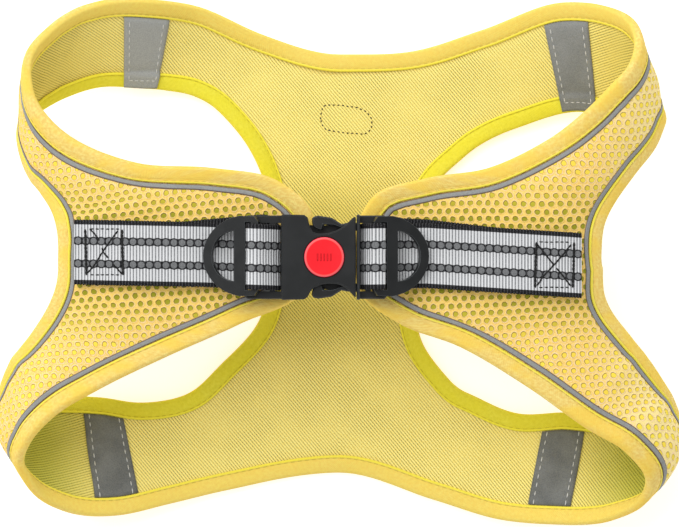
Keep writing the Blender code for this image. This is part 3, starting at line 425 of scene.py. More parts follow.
def edgeDepth(half, points):  # how deep inside the raw edges each point lies
    edge = half.rims(np.linspace(0, half.rear, 500))[0]
    hole = half.rims(np.linspace(0, half.length, 500))[1]
    mirror = edge * np.array([-1, 1, 1])
    raw = np.vstack([edge, hole, mirror[np.abs(mirror[:, 0]) < 30]])
    return nearest(points, lambda some: np.sqrt(((some - raw) ** 2).sum(2).min(1)))


def meet(c1, r1, c2, r2, side):
    gap = size(c2 - c1)
    a = (r1 * r1 - r2 * r2 + gap * gap) / (2 * gap)
    h = math.sqrt(max(r1 * r1 - a * a, 0))
    along = (c2 - c1) / gap
    return c1 + along * a + side * h * np.array([-along[1], along[0]])


def unroll(edge, hole, first, edge0, hole0, side):  # the flat cut of a strip between two lines
    n = len(edge)
    flatEdge, flatHole = np.zeros((n, 2)), np.zeros((n, 2))
    flatEdge[first], flatHole[first] = edge0, hole0
    for step in (1, -1):
        i = first
        while 0 <= i + step < n:
            j = i + step
            toEdge, toHole = size(edge[j] - edge[i]), size(edge[j] - hole[i])
            flatEdge[j] = meet(flatEdge[i], toEdge, flatHole[i], toHole, side * step)
            toEdge, toHole = size(hole[j] - edge[j]), size(hole[j] - hole[i])
            flatHole[j] = meet(flatEdge[j], toEdge, flatHole[i], toHole, side * step)
            i = j
    return flatEdge, flatHole


def addGrid(work, cut, points, uv):  # a grid of faces through points[row, column]
    rows, columns = points.shape[:2]
    verts = bmesh.ops.create_grid(work, x_segments=columns - 1, y_segments=rows - 1, size=1)["verts"]
    for vert, place in zip(verts, points.reshape(-1, 3) * mm):
        vert.co = place
    flat = uv.reshape(-1, 2)
    order = {vert: i for i, vert in enumerate(verts)}
    for face in {face for vert in verts for face in vert.link_faces}:
        for loop in face.loops:
            loop[cut].uv = flat[order[loop.vert]]


def put(name, data, place=(0, 0, 0)):
    made = bpy.data.objects.new(name, data)
    made.location = place
    bpy.context.scene.collection.objects.link(made)
    return made


def finish(name, work, merge=0.004):
    bmesh.ops.remove_doubles(work, verts=work.verts, dist=merge * mm)
    bmesh.ops.recalc_face_normals(work, faces=work.faces)
    mesh = bpy.data.meshes.new(name)
    work.to_mesh(mesh)
    work.free()
    mesh.shade_smooth()
    return put(name, mesh)


def shell(name, grids):  # a closed wall; each grid is (outer points, inner points, place on the cut cloth)
    work = bmesh.new()
    cut = work.loops.layers.uv.new("cut")
    for outer, inner, uv in grids:
        addGrid(work, cut, outer, uv)
        addGrid(work, cut, inner, uv)
    middle = [vert for vert in work.verts if abs(vert.co.x) < 1e-3 * mm]
    bmesh.ops.remove_doubles(work, verts=middle, dist=0.3 * mm)
    rim = [edge for edge in work.edges if len(edge.link_faces) == 1]
    bmesh.ops.bridge_loops(work, edges=rim)
    return finish(name, work)


def stationsOf(low, high, step):
    return np.linspace(low, high, max(3, int(round((high - low) / step)) + 1))


def chestStations(half):  # from the rear seam, round the middle line, to the front seam
    step, gap = cloth["step"] * 1.4, cloth["seamGap"]
    low, high = half.rear + half.spare, half.length - half.spare
    return np.concatenate([
        stationsOf(half.rearSeam + gap, half.rear, step), np.linspace(half.rear, low, 6)[1:],
        np.linspace(low, high, 40)[1:], np.linspace(high, half.length, 6)[1:],
        half.length + stationsOf(0, half.frontSeam - gap, step)[1:]])


def clothGrid(half, p, first, wing):  # points, normals and places on the cut, unrolled from station first
    points, normals, t, rim = sheetGrid(half, p)
    start, stop = rim[:2]
    edge0, hole0 = start[first, :2], stop[first, :2]
    if wing:
        hole0 = edge0 + np.array([half.sign * size(stop[first] - start[first]), 0])
    flatEdge, flatHole = unroll(start, stop, first, edge0, hole0, half.sign)
    return points, normals, flatEdge[:, None] + (flatHole - flatEdge)[:, None] * t[..., None]


def walls(half, points, normals, cut):  # the mesh wall and the lining wall of one grid
    depth = edgeDepth(half, points)
    top = pressed(depth, cloth["meshTop"], cloth["pressedTop"])[..., None]
    low = pressed(depth, cloth["liningLow"], cloth["pressedLow"])[..., None]
    meeting = cloth["meeting"]
    outer = (points + normals * top, points + normals * meeting, cut)
    inner = (points - normals * meeting, points - normals * low, cut)
    return outer, inner


def flatSize(grids):  # the sides and the area of the flat cut, m
    places = np.concatenate([cut.reshape(-1, 2) for _, _, cut in grids]) * mm
    area = 0.0
    for _, _, cut in grids:
        one, two = (cut[1:, 1:] - cut[:-1, :-1]) * mm, (cut[:-1, 1:] - cut[1:, :-1]) * mm
        area += float(np.abs(one[..., 0] * two[..., 1] - one[..., 1] * two[..., 0]).sum() / 2)
    return {"flat": tuple(float(side) for side in np.ptp(places, axis=0)), "area": area}


def addSheets():
    made, sizes, chest, gap = {}, {}, [], cloth["seamGap"]
    for label, half in halves.items():
        p = stationsOf(half.frontSeam + gap, half.rearSeam - gap, cloth["step"])
        outer, inner = walls(half, *clothGrid(half, p, len(p) // 2, True))
        made["wing", label] = shell(f"wing_mesh_{label}", [outer])
        made["lining", label] = shell(f"wing_lining_{label}", [inner])
        sizes[label] = flatSize([outer])
        p = chestStations(half)
        middle = int(np.argmin(np.abs(p - (half.rear + half.length) / 2)))
        chest.append(walls(half, *clothGrid(half, p, middle, False)))
    made["chest"] = shell("chest_mesh", [outer for outer, _ in chest])
    made["liningChest"] = shell("chest_lining", [inner for _, inner in chest])
    sizes["chest"] = flatSize([outer for outer, _ in chest])
    return made, sizes


def distances(path):  # how far along a line each of its points is
    return np.concatenate([[0], np.cumsum(size(np.diff(path, axis=0)))])


def tube(name, rows, cut):  # a closed skin over rows of points, its open ends filled
    work = bmesh.new()
    addGrid(work, work.loops.layers.uv.new("cut"), rows, cut)
    bmesh.ops.remove_doubles(work, verts=work.verts, dist=0.004 * mm)
    bmesh.ops.holes_fill(work, edges=[edge for edge in work.edges if len(edge.link_faces) == 1], sides=0)
    return finish(name, work)


def squareAcross(half, p, rim, base):  # how a strip lies at the middle of the body, and how much of it does
    inPlace = np.mod(p, half.length)
    fromNeck, fromRear = np.minimum(inPlace, half.length - inPlace), np.abs(inPlace - half.rear)
    gap = np.minimum(fromNeck, fromRear)
    along = unit(half.rims(p + 0.4)[0] - half.rims(p - 0.4)[0])
    square = unit(np.cross(np.cross(along, unit(rim[1] - rim[0])), along))
    middle = gap < 0.9
    square[middle] = np.where((fromNeck < 30)[:, None], [0, -1.0, 0], [0, 1.0, 0])[middle]
    share = (1 - smoothstep(gap, 0, tape["squareRun"]))[:, None, None]
    return share, square, rim[0][:, None] + square[:, None] * base[:, None]


def strip(name, routes, profile, closed):  # routes: (half, places, fromHole); profile: (depth, height)
    depths, heights = np.array(profile, float).T
    base, past = np.clip(depths, 0, None), np.clip(-depths, 0, None)[None, :, None]
    rings = []
    for half, p, fromHole in routes:
        rim = half.rims(p)
        t = half.across(rim, p, base, fromHole)
        points, normals = half.face(rim, p, t), half.normals(rim, p, t)
        firstTwo = half.face(rim, p, half.across(rim, p, [0.0, 1.0], fromHole))
        outward = unit(firstTwo[:, 0] - firstTwo[:, 1])
        if not fromHole:
            share, square, flat = squareAcross(half, p, rim, base)
            points = points * (1 - share) + flat * share
            outward = unit(outward * (1 - share[:, 0]) - square * share[:, 0])
            normals = unit(normals * (1 - share) + np.array([0, 0, -1.0]) * share)
        rings.append(points + outward[:, None] * past + normals * heights[None, :, None])
    rows = np.concatenate(rings + ([rings[0][:1]] if closed else []))
    rows = np.concatenate([rows, rows[:, :1]], axis=1)
    along, girth = distances(rows[:, 0]), distances(rows[len(rows) // 3])
    return tube(name, rows, np.stack(np.meshgrid(along, girth, indexing="ij"), -1)), float(along[-1])


def tapeProfile():  # once round the folded tape, outside first
    full, low = cloth["pressedTop"] + tape["gap"], cloth["pressedLow"] + tape["gap"]
    width, wall, seam = tape["width"] - cloth["rawEdge"], tape["wall"], tape["stitch"]

    def face(depth):  # how proud the tape's outer side stands, turned in at its edge
        bead = tape["bead"] * math.exp(-(((depth - width + 0.55) / 0.5) ** 2))
        sunk = -tape["groove"] * math.exp(-(((depth - width + seam) / 0.28) ** 2))
        share = min(1, max(0, (depth + 0.6) / (width - 0.8)))
        puff = tape["puff"] * max(0.0, math.sin(math.pi * share)) ** 0.7
        return wall + bead + sunk + puff - (tape["turnedIn"] if depth == width else 0)

    depths = [width - inside for inside in (0, 0.3, 0.7, 1.05, 1.35, 1.65, 2.2)] + [3, 2, 1, 0.2]
    bend, middle = (full + low + 2 * wall) / 2 + 0.1, (full - low) / 2
    fold = [(-0.15 - 0.95 * math.cos(angle), middle + bend * math.sin(angle))
            for angle in np.radians(np.linspace(80, -80, 7))]
    outer, inner = [(d, full + face(d)) for d in depths], [(d, -(low + face(d))) for d in depths[::-1]]
    return outer + fold + inner + [(width, -low), (-0.35, -low), (-0.35, full), (width, full)]


tapeGirth = float(size(np.diff(np.array(tapeProfile()[:-4]), axis=0)).sum())


def addTrim():
    made, lengths = {}, {}
    step, left, right = tape["step"], halves["left"], halves["right"]
    leftRun = np.linspace(0, left.rear, int(left.rear / step))
    rightRun = np.linspace(right.rear, 0, int(right.rear / step))[1:-1]
    made["tape"], lengths["outer"] = strip(
        "binding_tape_outer", [(left, leftRun, False), (right, rightRun, False)], tapeProfile(), True)
    low, wall, rise = cloth["pressedTop"] + piping["lift"], piping["wall"], piping["rise"]
    a, b = piping["start"], piping["start"] + piping["width"]
    bead = [(a, low), (a, low + wall * 0.6), (a + 0.35, low + wall), ((a + b) / 2, low + wall + rise * 0.25),
            (b - 0.35, low + wall + rise * 0.35), (b, low + wall * 0.6 + rise * 0.4), (b, low + rise * 0.4)]
    for label, half in halves.items():
        loop = np.linspace(0, half.length, int(half.length / step))[:-1]
        made["tape", label], lengths[label] = strip(
            f"binding_tape_leg_{label}", [(half, loop, True)], tapeProfile(), True)
        run = stationsOf(half.frontSeam, half.rearSeam, step)
        for side, fromHole in (("edge", False), ("leg", True)):
            made["piping", side, label], _ = strip(
                f"piping_strip_{side}_{label}", [(half, run, fromHole)], bead, False)
    return made, lengths


def patchGrid(half, seam, front):
    p = seam + np.linspace(-patchTape["width"] / 2, patchTape["width"] / 2, patchTape["columns"])
    rim = half.rims(p)
    clear, beside = patchTape["clear"], tape["width"] - cloth["rawEdge"] + patchTape["besideTape"]
    inner = half.across(rim, p, [beside, clear], False)
    hole = half.across(rim, p, patchTape["overTape"] if front else [clear, beside], True)
    middle = inner[:, -1:] + (hole[:, :1] - inner[:, -1:]) * np.linspace(0, 1, 10)[1:-1]
    return p, rim, np.hstack([inner, middle, hole])


def addPatches():
    made, faces, lengths = {}, {}, {}
    for label, half in halves.items():
        for end, seam in (("front", half.frontSeam), ("rear", half.rearSeam)):
            p, rim, t = patchGrid(half, seam, end == "front")
            points, normals = half.face(rim, p, t), half.normals(rim, p, t)
            low = pressed(edgeDepth(half, points), cloth["liningLow"], cloth["pressedLow"])
            if end == "front":
                clear = 1 - smoothstep(t, t[:, -8:-7], t[:, -6:-5])
                proud = cloth["pressedLow"] + tape["gap"] + tape["wall"] + patchTape["proud"]
                low = low * clear + np.maximum(low, proud) * (1 - clear)
            low = (low + patchTape["gap"])[..., None]
            inner, outer = points - normals * low, points - normals * (low + patchTape["wall"])
            across, down = np.linspace(0, patchTape["width"], len(p)), distances(points[6])
            cut = np.stack(np.meshgrid(across, down, indexing="ij"), -1)
            made[end, label] = shell(f"seam_patch_{end}_{label}", [(outer, inner, cut)])
            faces[end, label] = outer, normals
            lengths[end, label] = float(down[-1])
    return made, faces, lengths


webbing = {
    "width": 25.0, "wall": 1.4, "gap": 0.3, "rib": 1.2, "dot": 3.1, "dotRows": (8.15, 16.85), "round": 60,
    "step": 0.3, "frameTop": 65.1, "ringReach": 14.3, "ringWall": 2.5, "ringSlot": 18.2, "ringLength": 22.2,
}
Strap = namedtuple("Strap", "sign end apex fold endY apexY foldY turn turnedFrom")
straps = {
    "left": Strap(-1, 101.5, 51.3, 23.0, 4.4, 3.4, 2.2, 7.3, 60),
    "right": Strap(1, 92.5, 33.4, 8.4, -0.8, 3.0, 2.6, 3.2, 61),
}


def treeOf(obj):
    work = bmesh.new()
    work.from_mesh(obj.data)
    tree = BVHTree.FromBMesh(work)
    work.free()
    return tree


def heightAt(trees, x, y):  # how high the cloth stands there
    hits = [tree.ray_cast(Vector((x, y, 200)) * mm, Vector((0, 0, -1)))[0] for tree in trees]
    return max([0.0] + [hit.z / mm for hit in hits if hit is not None])


def centreY(strap, reach):
    knots = [strap.fold, strap.apex, strap.end]
    return float(np.interp(reach, knots, [strap.foldY, strap.apexY, strap.endY]))


def strapLine(strap, trees):  # (reach, height, turn) along the webbing's middle, from its sewn end and back
    w = webbing
    gap, half = w["gap"], w["wall"] / 2
    spread = w["width"] / 2 + 1.5

    def top(reach):
        y = centreY(strap, reach)
        return max(heightAt(trees, strap.sign * (reach + step), y + across)
                   for step in (-2, -1, 0, 1, 2) for across in np.linspace(-spread, spread, 9))

    toe = top(strap.apex - 1) + 2 * (gap + w["wall"]) + gap
    lean = math.atan((w["frameTop"] + gap - toe) / w["ringReach"])
    cos, sin = math.cos(lean), math.sin(lean)

    def place(along, up):
        return strap.apex - along * cos + up * sin, toe + along * sin + up * cos

    barTop = w["frameTop"] + gap + half
    slot, over, back = w["ringSlot"], w["ringWall"] + gap + half, w["ringLength"]
    rise = place(slot, 0)[0]
    upper = 2 * gap + w["wall"] + half
    path = [(reach, top(reach) + upper) for reach in np.linspace(strap.end, rise + 2.2, 22)]
    low, fold = path[-1][1], strap.fold
    path += [(rise + 0.9, low + 0.4), (rise - 0.2, low + 1.7), (rise - 0.3, w["frameTop"]), place(slot, 0),
             place(slot - 0.1, over - 0.6), place(slot + 0.3, over), place(slot + 1.2, over + 0.3),
             place(back - 0.4, over + 0.3), place(back + 1.3, over - 0.4), (fold + 1.4, barTop + 0.3),
             (fold + 0.2, barTop - 0.5), (fold, barTop - 1.6), (fold, barTop - 3.6),
             (fold + 0.7, barTop - 5.0)]
    turns = [0.0] * len(path)
    for reach in np.linspace(fold + 3.0, strap.end - 3.0, 20):
        path.append((reach, top(reach) + gap + half))
        turns.append(math.tan(math.radians(strap.turn)) * max(0.0, strap.turnedFrom - reach))
    return np.column_stack([path, turns])


def rounded(line, rounds=3):  # a softer line through the same places
    for _ in range(rounds):
        middle = (line[1:] + line[:-1]) / 2
        inner = (middle[1:] + middle[:-1]) / 2
        line = np.vstack([line[:1], np.stack([middle[:-1], inner], 1).reshape(-1, 3), middle[-1:], line[-1:]])
    return line


def resample(line, step):
    along = distances(line[:, :2])
    at = np.linspace(0, along[-1], int(along[-1] / step))
    return at, np.column_stack([np.interp(at, along, column) for column in line.T])


def webSection(along):  # once round the webbing there: (across, off its middle)
    width, half = webbing["width"] / 2, webbing["wall"] / 2
    rib = 0.5 + 0.5 * math.cos(2 * math.pi * along / webbing["rib"])
    columns = np.array([-1, -0.985, -0.95, -0.9, -0.84, -0.8, -0.6, -0.44, -0.4, -0.3, -0.2, -0.16, 0])
    columns = np.concatenate([columns, -columns[-2::-1]]) * (width - 0.25 + 0.3 * rib)
    proud = np.array([-0.32, -0.12, 0, 0.02, 0, -0.06, -0.06, -0.06, 0.06, 0.1, 0.06, -0.06, -0.06])
    proud = half + (np.concatenate([proud, proud[-2::-1]]) + (rib - 1) * 0.08)
    return np.vstack([np.column_stack([columns, proud]), np.column_stack([columns, -proud])[::-1]])


def addStrap(label, strap, trees):
    at, line = resample(rounded(strapLine(strap, trees)), webbing["step"])
    ahead = np.gradient(line[:, :2], axis=0)
    square = unit(np.column_stack([ahead[:, 1], -ahead[:, 0]]))
    reach, z, turn = line.T
    y = np.array([centreY(strap, r) for r in reach]) + turn
    rows, cut = [], []
    for i, along in enumerate(at):
        section = webSection(along)
        side, off = section.T
        east, up = strap.sign * (reach[i] + square[i, 0] * off), z[i] + square[i, 1] * off
        points = np.column_stack([east, y[i] + side, up])
        across, half = side + webbing["width"] / 2, len(section) // 2
        across[half:] = webbing["round"] - across[half:]
        rows.append(np.vstack([points, points[:1]]))
        cut.append(np.column_stack([np.full(len(across) + 1, along), np.append(across, webbing["round"])]))
    return tube(f"webbing_{label}", np.array(rows), np.array(cut)), at[-1]


stitches = {  # length, gap and half thickness, mm
    "patch": (2.3, 1.0, 0.22), "patchEnd": (1.7, 0.7, 0.22), "outline": (1.15, 0.7, 0.27),
    "boxSide": (2.4, -0.9, 0.56), "boxEnd": (1.7, 0.5, 0.27), "cross": (2.1, -0.6, 0.4),
}
outlineCorners = [  # a bare place sewn round, on the chest's lining, mm
    (-7.5, 57.5), (-7.3, 61.5), (-6.2, 63.5), (-4.0, 63.4), (5.4, 62.9), (9.2, 61.7), (12.6, 59.4),
    (13.2, 56.5), (12.9, 53.6), (11.0, 51.8), (8.5, 51.6), (-4.2, 52.9), (-6.9, 54.0),
]
stitchBoxes = {  # where the webbing is sewn down, mm, and the lines of its cross as shares of the box
    "left": {"x": (-96.8, -82.6), "y": (-4.6, 13.4), "cross": [
        [(0.08, 1), (0.3, 0.82), (0.36, 0.72)],
        [(0.86, 0.96), (0.6, 0.68), (0.42, 0.48), (0.2, 0.2), (0.02, 0.05)], [(0.46, 0.5), (0.6, 0.36)],
        [(0.7, 0.26), (0.85, 0.14), (0.98, 0.02)], [(0.42, 0.6), (0.48, 0.47)]]},
    "right": {"x": (74.6, 89.2), "y": (-9.4, 8.4), "cross": [
        [(0.04, 0.96), (0.3, 0.7), (0.5, 0.5)], [(0.56, 0.44), (0.8, 0.2), (0.95, 0.04)],
        [(0.96, 0.94), (0.72, 0.7), (0.5, 0.5), (0.22, 0.26), (0.05, 0.05)]]},
}


def stitchRun(work, kind, path, normal):  # one row of thread dashes on a surface
    length, gap, thick = stitches[kind]
    along = distances(path)
    count = max(1, int(round((along[-1] + gap) / (length + gap))))
    pitch = (along[-1] + gap) / count
    up = np.broadcast_to(normal, path.shape)
    for i in range(count):
        ends = [pitch * i, pitch * i + length * rng.uniform(0.88, 1.05)]
        a, b = (np.array([np.interp(e, along, axis) for axis in path.T]) for e in ends)
        n = unit(np.array([np.interp(sum(ends) / 2, along, axis) for axis in up.T]))
        forward = unit(b - a)
        side = unit(np.cross(n, forward))
        n = np.cross(forward, side)
        centre = (a + b) / 2 + n * thick * 0.25 + side * rng.uniform(-0.06, 0.06)
        sides = Matrix.Diagonal((size(b - a) / 2, thick, thick * 0.7, 1))
        turn = Matrix(np.column_stack([forward, side, n]).tolist()).to_4x4()
        place = Matrix.Scale(mm, 4) @ (Matrix.Translation(Vector(centre)) @ turn @ sides)
        bmesh.ops.create_uvsphere(work, u_segments=6, v_segments=5, radius=1, matrix=place)


def sewPatch(work, front, outer, normals):
    column = np.arange(outer.shape[0], dtype=float)
    inset = patchTape["stitchInset"] / patchTape["width"] * (len(column) - 1)
    last = outer.shape[1] - (4 if front else 1)

    def pick(grid, row, k):
        return np.array([np.interp(row, column, grid[:, k, axis]) for axis in range(3)])

    for row in (inset, len(column) - 1 - inset):
        path = np.array([pick(outer, row, k) for k in range(1 if front else 0, last + 1)])
        stitchRun(work, "patch", path, np.array([-pick(normals, row, k) for k in range(len(path))]))
    if front:
        path = np.array([pick(outer, row, last) for row in np.linspace(inset, len(column) - 1 - inset, 8)])
        stitchRun(work, "patchEnd", path, -normals[6, last])


def sewOn(work, kind, tree, points):  # on top of a piece, seen from above
    path = np.array([[x, y, heightAt([tree], x, y)] for x, y in points])
    stitchRun(work, kind, path, np.array([0, 0, 1.0]))


def sewBox(work, tree, lean, box):
    (x0, x1), (y0, y1) = box["x"], box["y"]
    for x in (x0, x1):
        sewOn(work, "boxSide", tree, [(x + lean * t, y0 + (y1 - y0) * t) for t in np.linspace(0, 1, 12)])
    for y in (y0 + 0.3, y1 - 0.2):
        sewOn(work, "boxEnd", tree, [(x0 + (x1 - x0) * t, y) for t in np.linspace(0.1, 0.9, 12)])
    for points in box["cross"]:
        path = np.array([(x0 + (x1 - x0) * u, y0 + (y1 - y0) * v) for u, v in points])
        at = np.linspace(0, len(path) - 1, 24)
        sewOn(work, "cross", tree, np.array([np.interp(at, range(len(path)), axis) for axis in path.T]).T)


def addStitches(patchFaces, strapPieces, lining):
    made = {}
    for (end, label), (outer, normals) in patchFaces.items():
        work = bmesh.new()
        sewPatch(work, end == "front", outer, normals)
        made[end, label] = finish(f"stitching_{end}_{label}", work)
    for label, strap in straps.items():
        work = bmesh.new()
        sewBox(work, treeOf(strapPieces[label]), 0.5 * strap.sign, stitchBoxes[label])
        made["box", label] = finish(f"box_stitching_{label}", work)
    work = bmesh.new()
    corners = np.array(outlineCorners + outlineCorners[:1], float)
    sewOn(work, "outline", treeOf(lining), rounded(np.column_stack([corners, corners[:, 0] * 0]), 1)[:, :2])
    made["outline"] = finish("outline_stitching", work)
    return made


class Value:  # a number, a place or a colour inside a look
    def __init__(self, look, socket):
        self.look, self.socket = look, socket

    def calc(self, operation, b=0.0, c=0.0):
        return self.look.node("ShaderNodeMath", {0: self, 1: b, 2: c}, operation=operation)

    def __add__(self, other):
        return self.calc("ADD", other)

    def __sub__(self, other):
        return self.calc("SUBTRACT", other)

    def __rsub__(self, other):
        return self.look.node("ShaderNodeMath", {0: other, 1: self}, operation="SUBTRACT")

    def __mul__(self, other):
        return self.calc("MULTIPLY", other)

    def __abs__(self):
        return self.calc("ABSOLUTE")

    def fit(self, scale, shift):
        return self.calc("MULTIPLY_ADD", scale, shift)

    def wave(self, pitch, kind="COSINE"):
        return (self * (2 * math.pi / pitch)).calc(kind)

    def away(self, other):  # from the place where both are 0
        return (self.calc("POWER", 2.0) + other.calc("POWER", 2.0)).calc("SQRT")

    def ramp(self, low, high, start=0.0, stop=1.0):  # eased, from start at low to stop at high
        inputs = dict(enumerate((self, low, high, start, stop)))
        return self.look.node("ShaderNodeMapRange", inputs, interpolation_type="SMOOTHSTEP")

    def mix(self, a, b):  # from colour a at 0 to colour b at 1
        return self.look.node("ShaderNodeMix", {0: self, 6: a, 7: b}, 2, data_type="RGBA")


class Look:  # a material from a few plain steps
    def __init__(self, name, rough, colour=(0.8, 0.8, 0.8), shine=0.12):
        self.material = bpy.data.materials.new(name)
        self.material.use_nodes = True
        self.tree = self.material.node_tree
        self.shader = self.tree.nodes["Principled BSDF"]
        self.fill(self.shader, {"Roughness": rough, "Specular IOR Level": shine, "Base Color": colour})

    def fill(self, node, inputs):
        for key, value in inputs.items():
            socket = node.inputs[key]
            if isinstance(value, Value):
                self.tree.links.new(value.socket, socket)
            else:
                socket.default_value = (*value, 1) if isinstance(value, tuple) else value

    def node(self, kind, inputs, out=0, **settings):
        made = self.tree.nodes.new(kind)
        for key, value in settings.items():
            setattr(made, key, value)
        self.fill(made, inputs)
        return Value(self, made.outputs[out])

    def split(self, place):  # the place, its x and its y
        return [place] + [self.node("ShaderNodeSeparateXYZ", {0: place}, axis) for axis in "XY"]

    def uv(self):  # on the flat cut, mm
        return self.split(self.node("ShaderNodeUVMap", {}, uv_map="cut"))

    def local(self):  # in the piece's own coordinates, mm
        place = self.node("ShaderNodeTexCoord", {}, "Object")
        return self.split(self.node("ShaderNodeVectorMath", {0: place, "Scale": 1 / mm}, operation="SCALE"))

    def noise(self, vector, scale, detail=2.0):
        return self.node("ShaderNodeTexNoise", {"Vector": vector, "Scale": scale, "Detail": detail}, "Fac")

    def done(self, colour, height=None, depth=0.0):  # depth of the relief, mm
        self.fill(self.shader, {"Base Color": colour})
        if height:
            inputs = {"Height": height, "Distance": depth * mm, "Strength": 1.0}
            self.fill(self.shader, {"Normal": self.node("ShaderNodeBump", inputs)})
        return self.material


holes = {"pitches": (3.4, 6.1), "wander": 0.9, "edge": 1.16, "bottom": 0.74}  # of the mesh, mm


def airMesh():  # rows of round openings in a knitted face
    look = Look("air mesh", 0.9)
    place, x, y = look.uv()
    wander = holes["wander"]
    x = x + look.noise(place, 0.5).fit(wander, -wander / 2)
    y = y + look.noise(place, 0.62).fit(wander, -wander / 2)
    rows = []
    for shift in (0.0, 0.5):
        dx, dy = (axis.fit(1 / pitch, shift).calc("FRACT").fit(pitch, -pitch / 2)
                  for axis, pitch in zip((x, y), holes["pitches"]))
        rows.append(dx.away(dy))
    nearest = rows[0].calc("MINIMUM", rows[1])
    hole = nearest.ramp(holes["edge"], holes["bottom"])
    rim = nearest.ramp(0.9, 1.15) * nearest.ramp(1.6, 1.25)
    grain = look.noise(place, 1.9, 3.0)
    _, east, across = look.local()
    shade = abs(across - 2.0).ramp(36.0, 13.0)  # below the buckle and the webbing
    web = grain.ramp(0.35, 0.65).mix((0.93, 0.57, 0.13), (1.0, 0.74, 0.27))
    # painted light: the knit turns paler towards the right end
    web = (east.ramp(92.0, 124.0) * 0.6).mix(web, (1.0, 0.9, 0.42))
    # the hole rims pinkish: partly the knit's own colour, partly painted highlight
    web = (rim * look.noise(place, 0.35).ramp(0.35, 0.6)).mix(web, (1.0, 0.73, 0.42))
    web = (shade * 0.45).mix(web, (0.88, 0.6, 0.1))
    inside = look.noise(place, 0.06).ramp(0.3, 0.6).mix((1.0, 0.8, 0.08), (0.95, 0.7, 0.08))
    inside = (shade * 0.85).mix(inside, (0.22, 0.25, 0.01))
    return look.done(hole.mix(web, inside), hole * -1.0 + grain * 0.22 + rim * 0.25, 0.45)


def ribbedLining(name, lean):  # fine ribs at an angle to the cut, in degrees
    look = Look(name, 0.88)
    cos, sin = math.cos(math.radians(lean)), math.sin(math.radians(lean))
    place, x, y = look.uv()
    groove = (x * sin + y * cos + look.noise(place, 0.9) * 0.22).wave(1.02).ramp(0.2, 0.9)
    knots = (x * cos - y * sin).wave(1.3).ramp(0.2, 1.0)
    patchy = look.noise(place, 0.05, 3.0).ramp(0.3, 0.75)
    _, east, north = look.local()
    # painted shade inside the curls: towards the left and right ends the lining turns darker and greener, most at the
    # rear
    side = abs(east).ramp(86.0, 121.0)
    rear, front = side * north.ramp(-46.0, -62.0), side * north.ramp(46.0, 62.0)
    under = abs(north).ramp(44.0, 17.0)  # painted shadow below the buckle
    rib = look.noise(place, 2.2).ramp(0.3, 0.7).mix((0.95, 0.75, 0.19), (1.0, 0.89, 0.33))
    # the painted shade of the curls and the painted shadow below the buckle darken the ribs and the grooves
    rib = (rear * 0.75).mix(rib, (0.42, 0.44, 0.03))
    rib = (front * 0.55).mix(rib, (0.62, 0.5, 0.08))
    rib = (under * 0.45).mix(rib, (0.6, 0.5, 0.08))
    deep = patchy.mix((0.17, 0.13, 0.01), (0.42, 0.31, 0.035))
    deep = (rear * 0.8).mix(deep, (0.09, 0.13, 0.005))
    deep = (under * 0.85).mix(deep, (0.05, 0.045, 0.003))
    share = groove * patchy.fit(-0.25, 0.9) * knots.fit(0.35, 0.65)
    return look.done(share.mix(rib, deep), 1.0 - groove, 0.12)


def bindingTape(name, back, backLight):  # a fine weave, with a bright sewn ridge along its inner edges
    look = Look(name, 0.8)
    place, x, y = look.uv()
    weave = (x * 7.2).calc("SINE") * (y * 7.6).calc("SINE")
    mottle = look.noise(place, 0.8, 4.0)
    body = mottle.ramp(0.35, 0.68).mix((0.84, 0.58, 0.15), (0.92, 0.73, 0.23))
    slow = look.noise(place, 0.08).ramp(0.35, 0.65)
    body = slow.mix(body, mottle.mix((0.9, 0.55, 0.08), (0.94, 0.74, 0.14)))
    under = y.ramp(tapeGirth * 0.5, tapeGirth * 0.56)  # the side on the lining
    body = (under * 0.85).mix(body, mottle.mix(back, backLight))
    y = y.calc("MINIMUM", abs(tapeGirth - y))
    body = (y.ramp(1.15, 0.9) * 0.75).mix(body, (0.95, 0.85, 0.07))
    line = y.ramp(1.0, 1.25) * y.ramp(1.65, 1.4)
    dash = x.wave(2.9, "SINE").ramp(-0.4, 0.1)
    return look.done((line * dash.fit(0.35, 0.2)).mix(body, (0.4, 0.3, 0.02)), weave * 0.5 + mottle, 0.1)


def seamTape():  # a coated grey tape, with painted sheen that makes it brighter towards the neck on the left
    look = Look("seam tape", 0.6)
    place, x, y = look.local()
    grain = look.noise(place, 2.4, 3.0)
    speckle = grain.ramp(0.3, 0.7)
    dull = speckle.mix((0.115, 0.12, 0.118), (0.16, 0.165, 0.16))
    sheenGrey = speckle.mix((0.3, 0.31, 0.31), (0.38, 0.39, 0.39))
    # painted sheen: the tape lighter towards the front on the left, and in slow patches
    tone = (y - x * 0.45).ramp(-20.0, 130.0).mix(dull, sheenGrey)
    return look.done((look.noise(place, 0.12).ramp(0.3, 0.7) * 0.2).mix(tone, sheenGrey), grain, 0.05)


def pipingLook():
    look = Look("reflective piping", 0.6)
    y, grain = look.uv()[2], look.noise(look.local()[0], 2.0)
    edge = y.ramp(0.7, 0.5).calc("MAXIMUM", y.ramp(2.3, 2.5))
    tone = grain.ramp(0.3, 0.7).mix((0.25, 0.255, 0.25), (0.32, 0.325, 0.31))
    return look.done((edge * 0.75).mix(tone, (0.14, 0.08, 0.06)), grain, 0.04)


